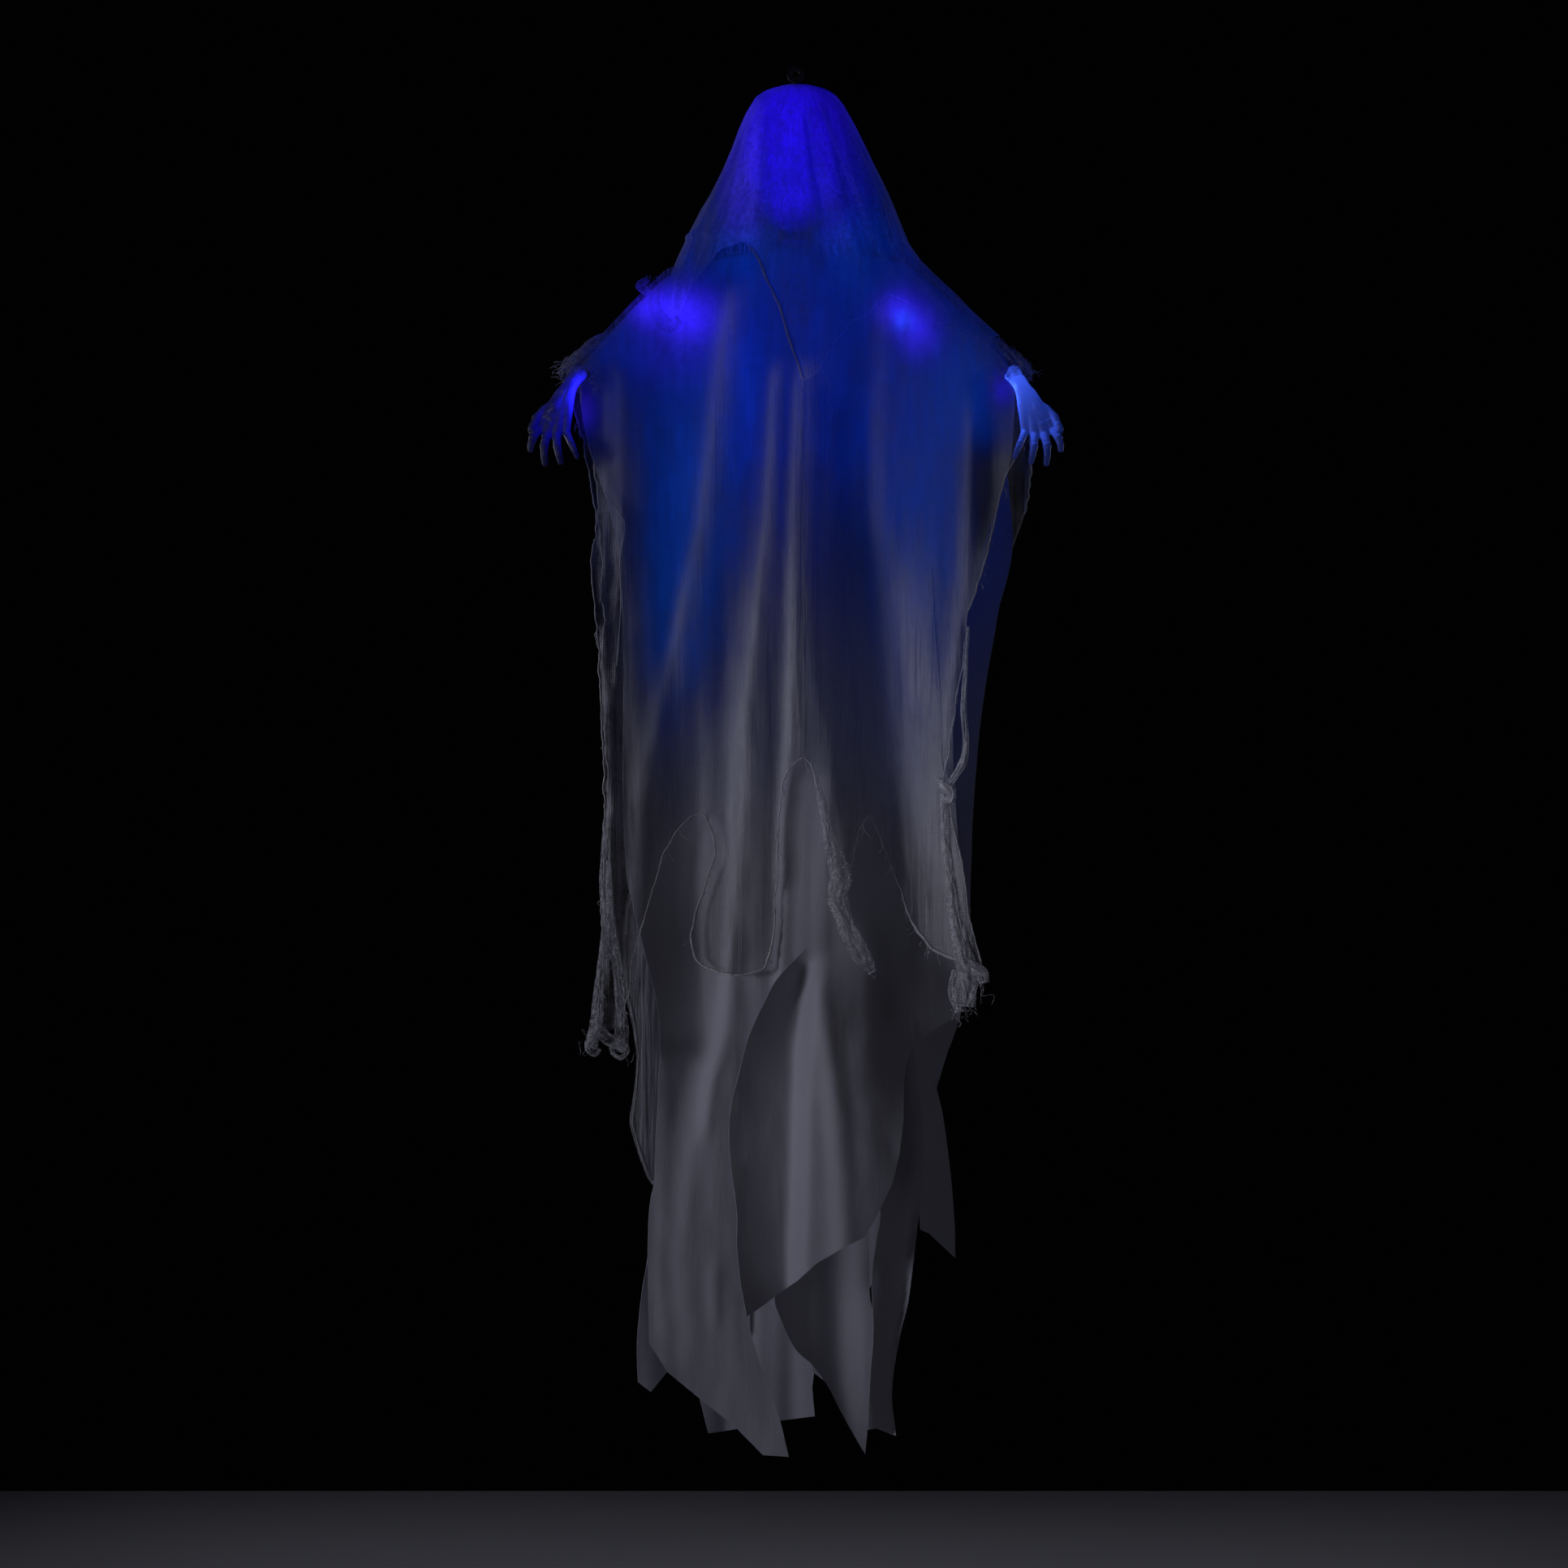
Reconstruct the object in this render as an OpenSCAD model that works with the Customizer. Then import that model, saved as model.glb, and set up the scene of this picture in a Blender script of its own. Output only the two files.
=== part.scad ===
// Hanging light-up ghost: a faceless head shell on a neck post, a shoulder yoke with two
// arms that fold on vertical pivots, twisting hands, lamps, a battery box, and the cloth:
// a long under-gown of pointed strips, a gauze cloak with sleeves, and a gauze veil.
// Millimetres. +Z up, the figure faces -Y, the origin is the centre of the hanging eye.

/* [Hanger] */
// Radius of the hole in the hanging eye
eye_bore_r = 5; // [4:0.5:6]
// Thickness of the hanging eye
eye_t = 5; // [4:0.5:6]

/* [Head] */
// Greatest outside radius of the head shell
head_r = 68; // [64:1:70]
// Height of the head shell
head_h = 190; // [184:1:194]
// Wall of the head shell
shell_t = 2.4; // [1.8:0.2:3]

/* [Frame] */
// Outside radius of the neck post
post_r = 12.5; // [11:0.5:12.5]
// Distance of each shoulder pivot from the middle
pivot_x = 128; // [126:1:132]
// Radius of the shoulder pivot bolts
bolt_r = 3; // [2.5:0.5:3]

/* [Arms] */
// Outside radius of the arm tube
tube_r = 7.5; // [6.5:0.5:7.5]
// Radius of the pin that the hand twists on
pin_r = 6; // [5:0.5:6]

/* [Battery box] */
// Radius of a battery cell
cell_r = 7.25; // [6.5:0.25:7.25]
// Length of a battery cell without its nub
cell_l = 49; // [44:0.5:49]

/* [Cloth] */
// Thickness of the gown's cloth with its hems
gown_t = 1.6; // [1:0.2:2]
// Thickness of the gauze with its rolled edges
gauze_t = 1.4; // [1:0.2:1.8]

/* [Hidden] */
$fn = 64;

// Colours
c_shell = [0.86, 0.88, 0.95];
c_black = [0.10, 0.10, 0.11];
c_steel = [0.62, 0.63, 0.65];
c_plastic = [0.80, 0.80, 0.80];
c_lens = [0.25, 0.35, 1.0];
c_gown = [0.84, 0.84, 0.86];
c_gauze = [0.78, 0.78, 0.80];
c_hand = [0.80, 0.82, 0.92];

// Heights
head_top = -17;
head_mid = head_top - head_h / 2;
pivot_z = -285;

// The right arm: pivot, elbow of the lug, wrist
P = [pivot_x, 0, pivot_z];
W = [270, -120, -398];
plan = [W[0] - P[0], W[1] - P[1], 0];
e_arm = plan / norm(plan);
n_arm = [-e_arm[1], e_arm[0], 0];
A = P + 34 * e_arm;
arm_l = norm(W - A);
u_arm = (W - A) / arm_l;
// Down, square to the arm's axis
dn_raw = [0, 0, -1] - (-u_arm[2]) * u_arm;
dn = dn_raw / norm(dn_raw);

// ---------- helpers ----------

// Turns the Z axis along d and moves it to p
module along(p, d) {
  translate(p) rotate([0, acos(d[2] / norm(d)), atan2(d[1], d[0])]) children();
}

function unit(v) = v / max(norm(v), 1e-9);

// A closed thin solid from a grid of points, g[row][column], t thick, centred on the grid.
// wrap joins the last column to the first.
module sheet_solid(g, t, wrap = false) {
  nr = len(g);
  nc = len(g[0]);
  function du(i, j) = wrap
    ? g[i][(j + 1) % nc] - g[i][(j + nc - 1) % nc]
    : g[i][min(j + 1, nc - 1)] - g[i][max(j - 1, 0)];
  function dv(i, j) = g[min(i + 1, nr - 1)][j] - g[max(i - 1, 0)][j];
  nrm = [for (i = [0:nr - 1]) [for (j = [0:nc - 1]) unit(cross(du(i, j), dv(i, j)))]];
  outer = [for (i = [0:nr - 1]) for (j = [0:nc - 1]) g[i][j] + nrm[i][j] * t / 2];
  inner = [for (i = [0:nr - 1]) for (j = [0:nc - 1]) g[i][j] - nrm[i][j] * t / 2];
  o = nr * nc;
  function k(i, j) = i * nc + (j % nc);
  cols = wrap ? nc : nc - 1;
  faces = concat(
    [for (i = [0:nr - 2]) for (j = [0:cols - 1]) [k(i, j), k(i + 1, j), k(i + 1, j + 1)]],
    [for (i = [0:nr - 2]) for (j = [0:cols - 1]) [k(i, j), k(i + 1, j + 1), k(i, j + 1)]],
    [for (i = [0:nr - 2]) for (j = [0:cols - 1]) [o + k(i, j), o + k(i + 1, j + 1), o + k(i + 1, j)]],
    [for (i = [0:nr - 2]) for (j = [0:cols - 1]) [o + k(i, j), o + k(i, j + 1), o + k(i + 1, j + 1)]],
    [for (j = [0:cols - 1]) [k(0, j), k(0, j + 1), o + k(0, j + 1)]],
    [for (j = [0:cols - 1]) [k(0, j), o + k(0, j + 1), o + k(0, j)]],
    [for (j = [0:cols - 1]) [k(nr - 1, j + 1), k(nr - 1, j), o + k(nr - 1, j)]],
    [for (j = [0:cols - 1]) [k(nr - 1, j + 1), o + k(nr - 1, j), o + k(nr - 1, j + 1)]],
    wrap ? [] : [for (i = [0:nr - 2]) [k(i + 1, 0), k(i, 0), o + k(i, 0)]],
    wrap ? [] : [for (i = [0:nr - 2]) [k(i + 1, 0), o + k(i, 0), o + k(i + 1, 0)]],
    wrap ? [] : [for (i = [0:nr - 2]) [k(i, nc - 1), k(i + 1, nc - 1), o + k(i + 1, nc - 1)]],
    wrap ? [] : [for (i = [0:nr - 2]) [k(i, nc - 1), o + k(i + 1, nc - 1), o + k(i, nc - 1)]]
  );
  polyhedron(points = concat(outer, inner), faces = faces, convexity = 6);
}

// A round wire of radius r along the points p, with n sides
module wire(p, r, n = 8) {
  m = len(p);
  function tan_at(i) = unit(p[min(i + 1, m - 1)] - p[max(i - 1, 0)]);
  function side(t) = abs(t[0]) < 0.8 ? unit(cross(t, [1, 0, 0])) : unit(cross(t, [0, 1, 0]));
  // Each ring's first direction is the last ring's, made square to the new tangent
  function dirs(i, last) = i == m ? [] :
    let (t = tan_at(i), d = unit(last - (last * t) * t)) concat([d], dirs(i + 1, d));
  d = dirs(0, side(tan_at(0)));
  pts = [for (i = [0:m - 1]) for (j = [0:n - 1])
    p[i] + r * (cos(360 * j / n) * d[i] + sin(360 * j / n) * cross(tan_at(i), d[i]))];
  faces = concat(
    [[for (j = [n - 1:-1:0]) n - 1 - j + 0]],
    [for (i = [0:m - 2]) for (j = [0:n - 1])
      [i * n + j, (i + 1) * n + j, (i + 1) * n + (j + 1) % n]],
    [for (i = [0:m - 2]) for (j = [0:n - 1])
      [i * n + j, (i + 1) * n + (j + 1) % n, i * n + (j + 1) % n]],
    [[for (j = [n - 1:-1:0]) (m - 1) * n + j]]
  );
  polyhedron(points = pts, faces = faces, convexity = 6);
}

// ---------- hanger ----------

module hanger_eye() color(c_steel) {
  difference() {
    union() {
      rotate([90, 0, 0]) cylinder(h = eye_t, r = eye_bore_r + 6, center = true);
      translate([0, 0, -13.9]) cylinder(h = 3, r = 9, center = true);
      translate([0, 0, -40]) cylinder(h = 30, r = 3);
    }
    rotate([90, 0, 0]) cylinder(h = eye_t + 20, r = eye_bore_r, center = true);
  }
}

module hanger_nut() color(c_steel) {
  translate([0, 0, -32.3]) difference() {
    cylinder(h = 1.2, r = 8);
    translate([0, 0, -1]) cylinder(h = 4, r = 3.1);
  }
  translate([0, 0, -37.5]) difference() {
    cylinder(h = 5, r = 5.8, $fn = 6);
    translate([0, 0, -1]) cylinder(h = 8, r = 3.02);
  }
}

// ---------- head ----------

// Half profile of the head at wall inset i, closed on the axis
function egg(i, n = 30) = [for (k = [0:n])
  let (a = -90 + 180 * k / n)
  [max((head_r - i) * cos(a) * (1 + 0.05 * sin(a)), 0), head_mid + (head_h / 2 - i) * sin(a)]];

module egg_solid(i) { rotate_extrude($fn = 96) polygon(egg(i)); }

screw_x = 36;
screw_zs = [-70, -150];

// One half of the head; side is -1 for the front and 1 for the rear
module head_half(side) {
  difference() {
    union() {
      difference() { egg_solid(0); egg_solid(shell_t); }
      // Pad under the hanging eye
      intersection() { translate([0, 0, -31]) cylinder(h = 16, r = 12); egg_solid(0.2); }
      // Sleeve round the neck post
      translate([0, 0, -225]) cylinder(h = 34, r = 17);
      // Bosses for the four screws
      for (x = [-screw_x, screw_x]) for (z = screw_zs)
        intersection() {
          translate([x, 0, z]) rotate([90, 0, 0]) cylinder(h = 150, r = 4.6, center = true);
          egg_solid(0.2);
        }
    }
    // Keep only this half
    translate([-150, side > 0 ? -300 : 0, -300]) cube([300, 300, 400]);
    translate([0, 0, -45]) cylinder(h = 60, r = 3.1);
    translate([0, 0, -230]) cylinder(h = 60, r = post_r + 0.05);
    for (x = [-screw_x, screw_x]) for (z = screw_zs) {
      translate([x, 0, z]) rotate([90, 0, 0]) cylinder(h = 24, r = 1.55, center = true);
      if (side > 0) translate([x, 10, z]) rotate([-90, 0, 0]) cylinder(h = 80, r = 3.6);
    }
    // Way in for the wire
    if (side > 0) translate([0, 30, -215]) cylinder(h = 40, r = 2.2);
  }
}

module head_front_shell() color(c_shell) head_half(-1);
module head_rear_shell() color(c_shell) head_half(1);

module head_screws() color(c_steel) {
  for (x = [-screw_x, screw_x]) for (z = screw_zs) {
    translate([x, 10, z]) rotate([90, 0, 0]) cylinder(h = 20, r = 1.5);
    translate([x, 12.4, z]) rotate([90, 0, 0]) cylinder(h = 2.4, r = 3);
  }
}

module head_lamp_board() color([0.10, 0.35, 0.18]) {
  difference() {
    translate([-15, -9, -160]) cube([30, 1.6, 76]);
    for (z = [-148, -122, -96]) translate([0, 0, z]) rotate([90, 0, 0])
      cylinder(h = 40, r = 0.6, center = true);
  }
  // Foot that stands on the post's upper end
  translate([-4, -9, -190]) cube([8, 1.6, 30]);
}

module head_leds() color(c_lens) for (z = [-148, -122, -96]) {
  translate([0, -9, z]) rotate([90, 0, 0]) cylinder(h = 5, r = 2.5);
  translate([0, -14, z]) rotate([90, 0, 0]) rotate_extrude() intersection() {
    circle(r = 2.5);
    translate([0, -1]) square([3, 4]);
  }
}

// ---------- post, yoke ----------

module neck_post() color(c_plastic) difference() {
  translate([0, 0, -500]) cylinder(h = 310, r = post_r);
  translate([0, 0, -510]) cylinder(h = 330, r = post_r - 2);
  // Pilot hole for the yoke's screw
  translate([0, 0, -281]) rotate([90, 0, 0]) cylinder(h = 60, r = 1.5);
}

module post_cap() color(c_black) difference() {
  translate([0, 0, -503]) cylinder(h = 15, r = post_r + 2);
  translate([0, 0, -500]) cylinder(h = 20, r = post_r + 0.02);
}

module neck_collar() color(c_black) difference() {
  translate([0, 0, -222]) cylinder(h = 12, r = 22);
  translate([0, 0, -230]) cylinder(h = 30, r = 17.05);
}

module shoulder_yoke() color(c_black) difference() {
  union() {
    translate([0, 0, -300]) cylinder(h = 30, r = 20);
    translate([-108, -9, -293]) cube([216, 18, 16]);
    for (s = [-1, 1]) {
      // Upper and lower plate of the clevis, and the web between them
      for (z = [-295.2, -279.8]) {
        translate([s * pivot_x, 0, z]) cylinder(h = 5, r = 12);
        translate([s > 0 ? 104 : -pivot_x, -12, z]) cube([pivot_x - 104, 24, 5]);
      }
      translate([s > 0 ? 104 : -112, -12, -295.2]) cube([8, 24, 20.4]);
    }
  }
  translate([0, 0, -310]) cylinder(h = 60, r = post_r + 0.05);
  for (s = [-1, 1]) translate([s * pivot_x, 0, -310]) cylinder(h = 50, r = bolt_r + 0.05);
  translate([0, -10, -281]) rotate([90, 0, 0]) cylinder(h = 30, r = 1.6);
}

module yoke_screw() color(c_steel) {
  translate([0, -11, -281]) rotate([90, 0, 0]) cylinder(h = 9.1, r = 1.48);
  translate([0, -20.02, -281]) rotate([90, 0, 0]) cylinder(h = 2.2, r = 3);
}

module pivot_bolts() color(c_steel) for (s = [-1, 1]) {
  translate([s * pivot_x, 0, -303]) cylinder(h = 28.25, r = bolt_r);
  translate([s * pivot_x, 0, -274.78]) cylinder(h = 4, r = 5.5);
}

module pivot_nuts() color(c_steel) for (s = [-1, 1])
  translate([s * pivot_x, 0, -300.3]) difference() {
    cylinder(h = 5, r = 5.8, $fn = 6);
    translate([0, 0, -1]) cylinder(h = 8, r = bolt_r + 0.02);
  }

// ---------- lamps on the frame ----------

lamp_at = [[-104, -12.05, -285], [104, -12.05, -285], [0, -12.6, -400]];

module lamp_housings() color(c_black) for (p = lamp_at) translate(p) rotate([90, 0, 0])
  difference() {
    cylinder(h = 7, r = 7);
    translate([0, 0, 2]) cylinder(h = 8, r = 5.55);
  }

module lamp_lenses() color(c_lens) for (p = lamp_at) translate(p) rotate([90, 0, 0])
  translate([0, 0, 2.1]) rotate_extrude() intersection() {
    translate([0, 0.6]) circle(r = 8);
    square([5.5, 8.6]);
  }

// ---------- battery box ----------

cells_x = [-18, 0, 18];
cell_y = 32;
cell_z = -520.7;

module battery_box() color(c_black) difference() {
  union() {
    difference() {
      translate([-36, 15, -530]) cube([72, 32, 112]);
      // Cell bay, open to the rear
      translate([-34, 17, -528]) cube([68, 40, 60.1]);
      // Upper bay, closed to the rear
      translate([-34, 17, -465.9]) cube([68, 23.6, 45.9]);
      // Track of the sliding door
      translate([-34, 42.6, -528]) cube([68, 2.7, 130]);
      translate([-32, 42.6, -528]) cube([64, 10, 130]);
    }
    translate([0, 0, -450]) cylinder(h = 20, r = 17);
    translate([-8, 8, -450]) cube([16, 7.5, 20]);
    // Two posts for the circuit board
    for (x = [-24, 24]) translate([x, 16, -443]) rotate([-90, 0, 0]) cylinder(h = 7.98, r = 3);
  }
  translate([0, 0, -460]) cylinder(h = 40, r = post_r + 0.05);
  // Slot for the switch knob
  translate([33, 30.2, -446.8]) cube([4, 7.9, 3.6]);
  // Ways out for the wires
  for (x = [-12, 0, 12]) translate([x, 30, -425]) cylinder(h = 10, r = 1.8);
}

module battery_cells() color([0.20, 0.22, 0.26]) for (x = cells_x) {
  translate([x, cell_y, cell_z]) cylinder(h = cell_l, r = cell_r);
  translate([x, cell_y, cell_z + cell_l]) cylinder(h = 1.5, r = 2.7);
}

// A coil of the given turns as one wire
function coil(r0, r1, h, turns, n) = [for (i = [0:n])
  let (a = 360 * turns * i / n, q = i / n) [(r0 + (r1 - r0) * q) * cos(a), (r0 + (r1 - r0) * q) * sin(a), h * q]];

module battery_springs() color(c_steel) for (x = cells_x)
  translate([x, cell_y, -526.8]) wire(coil(5, 3.2, 5.6, 3, 26), 0.4, 5);

module battery_contacts() color(c_steel) {
  for (x = cells_x) {
    translate([x - 6, cell_y - 6, -528]) cube([12, 12, 0.7]);
    translate([x - 6, cell_y - 6, -470.1]) cube([12, 12, 0.7]);
  }
}

module control_board() color([0.10, 0.35, 0.18]) {
  translate([-30, 24, -462]) cube([60, 1.6, 38]);
  translate([-10, 25.6, -452]) cube([9, 1.8, 9]);
  translate([8, 25.6, -456]) cylinder(h = 9, r = 3, $fn = 32);
}

module switch_body() color(c_black) difference() {
  translate([27, 28.4, -450]) cube([6.95, 11, 10]);
  translate([29.5, 30, -446.8]) cube([6, 8.1, 3.6]);
}

module switch_knob() color(c_plastic) {
  translate([30, 30.5, -446.5]) cube([7, 3, 3]);
  translate([36.3, 29.5, -448]) cube([3, 5, 6]);
}

module battery_door() color(c_black) difference() {
  union() {
    translate([-33.7, 43, -527.7]) cube([67.4, 2, 62]);
    // Thumb ribs
    for (i = [0:3]) translate([-12, 44.9, -482 + 3 * i]) cube([24, 0.9, 1.2]);
  }
  translate([-2, 44.4, -490]) cube([4, 2, 4]);
}

// ---------- wires ----------

module wiring() color(c_black) {
  wire([[0, 30, -424], [0, 30, -412], [0, 28, -398], [0, 22, -382], [0, 18.5, -362], [0, 19.5, -335],
    [0, 23.5, -314], [0, 24, -290], [0, 24, -262], [0, 25, -240], [0, 27, -222], [0, 29.5, -210],
    [0, 30, -200], [0, 30, -186], [0, 26, -170], [0, 14, -156], [0, 2, -152], [0, -7.3, -150]], 1.2);
  for (s = [-1, 1])
    wire([[s * 12, 30, -424], [s * 12, 30, -412], [s * 13, 27, -396], [s * 15, 20, -372], [s * 18, 12, -344],
      [s * 22, 5, -318], [s * 28, 1.5, -304], [s * 40, 0, -298], [s * 60, 0, -297], [s * 84, 0, -297],
      [s * 94, -3, -297.5], [s * 100, -9, -297.5], [s * 102, -14, -295.5], [s * 102.6, -15, -292.2]], 1.2);
}

// Loop of wire that slackens across the right shoulder
module service_loop_r() {
  T = A + 45 * u_arm;
  wire([[107, -15, -292], [108, -15.5, -300], [117, -19, -313], [138, -28, -325], [158, -34, -331],
    T + 15 * dn + 2 * [-u_arm[0], -u_arm[1], 0], T + 11 * dn, T + 7 * dn], 1.1);
}

// ---------- the right arm; the left one is its mirror image ----------

module arm_lug_r() color(c_black) difference() {
  union() {
    translate([P[0], P[1], pivot_z - 5]) cylinder(h = 10, r = 11);
    translate([P[0], P[1], pivot_z]) rotate([0, 0, atan2(e_arm[1], e_arm[0])])
      translate([0, -7, -4.6]) cube([31, 14, 9.2]);
    along(A - 9 * u_arm, u_arm) cylinder(h = 39, r = 11);
  }
  translate([P[0], P[1], pivot_z - 30]) cylinder(h = 60, r = bolt_r + 0.05);
  along(A + 6 * u_arm, u_arm) cylinder(h = 40, r = tube_r + 0.03);
}

module arm_tube_r() color(c_plastic) difference() {
  along(A + 6.1 * u_arm, u_arm) cylinder(h = arm_l - 6.1, r = tube_r);
  along(A + 0 * u_arm, u_arm) cylinder(h = arm_l + 20, r = tube_r - 1.5);
  // Ways in and out for the wire
  along(A + 45 * u_arm, dn) cylinder(h = 20, r = 1.8);
  along(A + 150 * u_arm, dn) cylinder(h = 20, r = 1.8);
}

module wrist_cuff_r() color(c_black) difference() {
  along(W - 20 * u_arm, u_arm) cylinder(h = 36, r = 12.5);
  along(W - 25 * u_arm, u_arm) cylinder(h = 25.1, r = tube_r + 0.03);
  along(W - 5 * u_arm, u_arm) cylinder(h = 40, r = pin_r + 0.05);
}

lamp_c = W - 16 * u_arm + 17.52 * dn;

module wrist_lamp_r() color(c_black) difference() {
  along(lamp_c - 9 * u_arm, u_arm) cylinder(h = 20, r = 5);
  along(lamp_c + 3 * u_arm, u_arm) cylinder(h = 20, r = 3.55);
}

module wrist_led_r() color(c_lens) {
  along(lamp_c + 3.1 * u_arm, u_arm) rotate_extrude() intersection() {
    translate([0, 7]) circle(r = 6);
    union() { square([3.5, 13]); }
  }
}

module arm_wire_r() color(c_black) {
  T = A + 45 * u_arm;
  S = A + 150 * u_arm;
  wire([T + 6.8 * dn, T + 3 * dn + 1 * u_arm, T + 8 * u_arm, T + 30 * u_arm, T + 60 * u_arm, S - 12 * u_arm,
    S + 3 * dn - 1 * u_arm, S + 9 * dn, S + 15 * dn + 4 * u_arm, S + 17.5 * dn + 12 * u_arm,
    lamp_c - 9.05 * u_arm], 1.1);
}

module wrist_pin_r() color(c_plastic) {
  along(W + 0.3 * u_arm, u_arm) cylinder(h = 16.1, r = pin_r);
  along(W + 16.3 * u_arm, u_arm) cylinder(h = 2.7, r = 10);
}

// Points of the right hand: knuckle, middle joint, tip, radius
HS = W + 19.02 * u_arm;
fingers = [
  [[333, -150, -484], [340, -168, -497], [343, -168, -512], 4.9],
  [[322, -153, -489], [325, -173, -508], [324, -171, -530], 5.1],
  [[310, -153, -490], [308, -174, -509], [304, -172, -528], 4.9],
  [[298, -150, -486], [290, -169, -504], [283, -168, -521], 4.4]];
thumb = [[308, -136, -446], [333, -148, -463], [343, -160, -485], 5.2];

// A rounded bar between two points
module bar(a, b, r0, r1) hull() {
  translate(a) sphere(r = r0, $fn = 12);
  translate(b) sphere(r = r1, $fn = 12);
}

module hand_r() color(c_hand) {
  // Wrist and palm
  hull() {
    along(HS, u_arm) cylinder(h = 6, r = 11, $fn = 24);
    translate([301, -138, -438]) sphere(r = 10.5, $fn = 16);
  }
  hull() {
    translate([301, -138, -438]) sphere(r = 10.5, $fn = 16);
    translate(fingers[0][0]) sphere(r = 7, $fn = 12);
    translate(fingers[3][0]) sphere(r = 6.4, $fn = 12);
    translate(fingers[2][0]) sphere(r = 7.4, $fn = 12);
  }
  for (f = fingers) {
    bar(f[0], f[1], f[3] + 1, f[3]);
    bar(f[1], f[2], f[3], f[3] - 1.2);
  }
  bar(thumb[0], thumb[1], 8.5, thumb[3] + 0.6);
  bar(thumb[1], thumb[2], thumb[3] + 0.6, thumb[3] - 1.2);
}

// Gauze sleeve: hung over the arm, in front and behind, closed along the top
function arm_z(r) = r < 34 ? pivot_z : pivot_z + (r - 34) * (W[2] - A[2]) / (norm(plan) - 34);

module sleeve_r() color(c_gauze) {
  g = [for (i = [0:6]) let (r = 30 + i * 22)
    let (c = [P[0], P[1], 0] + r * e_arm, z = arm_z(r))
    [for (q = [[-24, -526], [-25, -460], [-23, z - 36], [-18, z + 2], [-9, z + 15], [0, z + 18],
               [9, z + 15], [18, z + 2], [23, z - 36], [25, -460], [24, -526]])
      [c[0] + q[0] * n_arm[0], c[1] + q[0] * n_arm[1], q[1]]]];
  sheet_solid(g, gauze_t);
}

// ---------- cloth ----------

// Half-width and half-depth of the gown and of the cloak at each height
gown_a = [[-1860, 196], [-1600, 210], [-1400, 220], [-1200, 221], [-1000, 214], [-800, 202], [-640, 186],
  [-565, 112], [-535, 106], [-330, 104], [-300, 92], [-285, 84]];
gown_b = [[-1860, 100], [-1600, 108], [-1400, 114], [-1200, 115], [-1000, 112], [-800, 105], [-640, 96],
  [-535, 84], [-400, 72], [-330, 54], [-300, 34], [-285, 23]];
cloak_a = [[-1320, 240], [-1200, 245], [-1100, 250], [-900, 256], [-700, 268], [-610, 262], [-570, 140],
  [-540, 112], [-300, 112], [-258, 108]];
cloak_b = [[-1320, 136], [-1000, 132], [-800, 126], [-640, 114], [-535, 102], [-400, 90], [-340, 82],
  [-300, 64], [-270, 36], [-258, 10]];
// Roundness of the outline at each height: 1 is an ellipse, less is squarer
gown_e = [[-1860, 1], [-420, 1], [-330, 0.6], [-285, 0.6]];
cloak_e = [[-1320, 1], [-640, 1], [-400, 0.7], [-300, 0.6], [-258, 0.6]];

// How far the cloth that hangs from the arms lies forward of the middle, at x and height z
function hang_y(x, z) = lookup(z, [[-1860, 0.7], [-1200, 0.9], [-640, 1], [-545, 0]])
  * e_arm[1] / e_arm[0] * max(0, abs(x) - pivot_x);

function spow(v, e) = sign(v) * pow(abs(v), e);

// A sheet between the angles t0 and t1 round the figure (0 is the front, 90 is +X), s outside
// the base shape, from height z0 down to the hem, which is a list of [share of width, height]
module panel(ta, tb, te, t0, t1, s, z0, hem, t, nu = 7, nv = 13) {
  g = [for (i = [0:nv]) [for (j = [0:nu])
    let (q = j / nu, th = t0 + (t1 - t0) * q, z = z0 + (lookup(q, hem) - z0) * i / nv,
      x = (lookup(z, ta) + s) * spow(sin(th), lookup(z, te)))
    [x, hang_y(x, z) - (lookup(z, tb) + s) * spow(cos(th), lookup(z, te)), z]]];
  sheet_solid(g, t);
}

module gown_panel(t0, t1, s, z0, hem, nu = 7) color(c_gown)
  panel(gown_a, gown_b, gown_e, t0, t1, s, z0, hem, gown_t, nu);

module gown_front_left() gown_panel(-62, -3, 0, -286, [[0, -1688], [0.3, -1740], [0.62, -1800], [0.85, -1838], [1, -1839]]);
module gown_front_right() gown_panel(-16, 42, 7, -286, [[0, -1650], [0.5, -1580], [1, -1510]]);
module gown_front_inner() gown_panel(-4, 29, -9, -660, [[0, -1650], [0.55, -1750], [1, -1834]], 5);
module gown_right() gown_panel(33, 54, -3, -660, [[0, -1801], [1, -1812]], 4);
module gown_right_rear() gown_panel(60, 99, 0, -660, [[0, -1520], [0.55, -1575], [1, -1500]], 5);
module gown_left() gown_panel(-100, -67, 0, -660, [[0, -1386], [0.5, -1472], [1, -1440]], 5);
module gown_rear_left() gown_panel(-158, -112, 0, -286, [[0, -1690], [0.5, -1700], [1, -1751]], 6);
module gown_rear_middle() gown_panel(172, 212, 7, -286, [[0, -1785], [0.5, -1740], [1, -1807]], 6);
module gown_rear_right() gown_panel(106, 168, 0, -286, [[0, -1480], [0.5, -1640], [1, -1700]]);

module cloak_panel(t0, t1, s, hem) color(c_gauze)
  panel(cloak_a, cloak_b, cloak_e, t0, t1, s, -260, hem, gauze_t, 8, 14);

module cloak_front_left() cloak_panel(-80, -2, 6, [[0, -1304], [0.25, -1180], [0.55, -985], [0.8, -1196], [1, -930]]);
module cloak_front_right() cloak_panel(2, 80, 6, [[0, -910], [0.35, -1190], [0.6, -1080], [0.85, -1190], [1, -1240]]);
module cloak_back_left() cloak_panel(182, 260, 6, [[0, -1080], [0.4, -1220], [0.7, -1120], [1, -1260]]);
module cloak_back_right() cloak_panel(100, 178, 6, [[0, -1230], [0.4, -1140], [0.7, -1220], [1, -1060]]);

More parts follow.
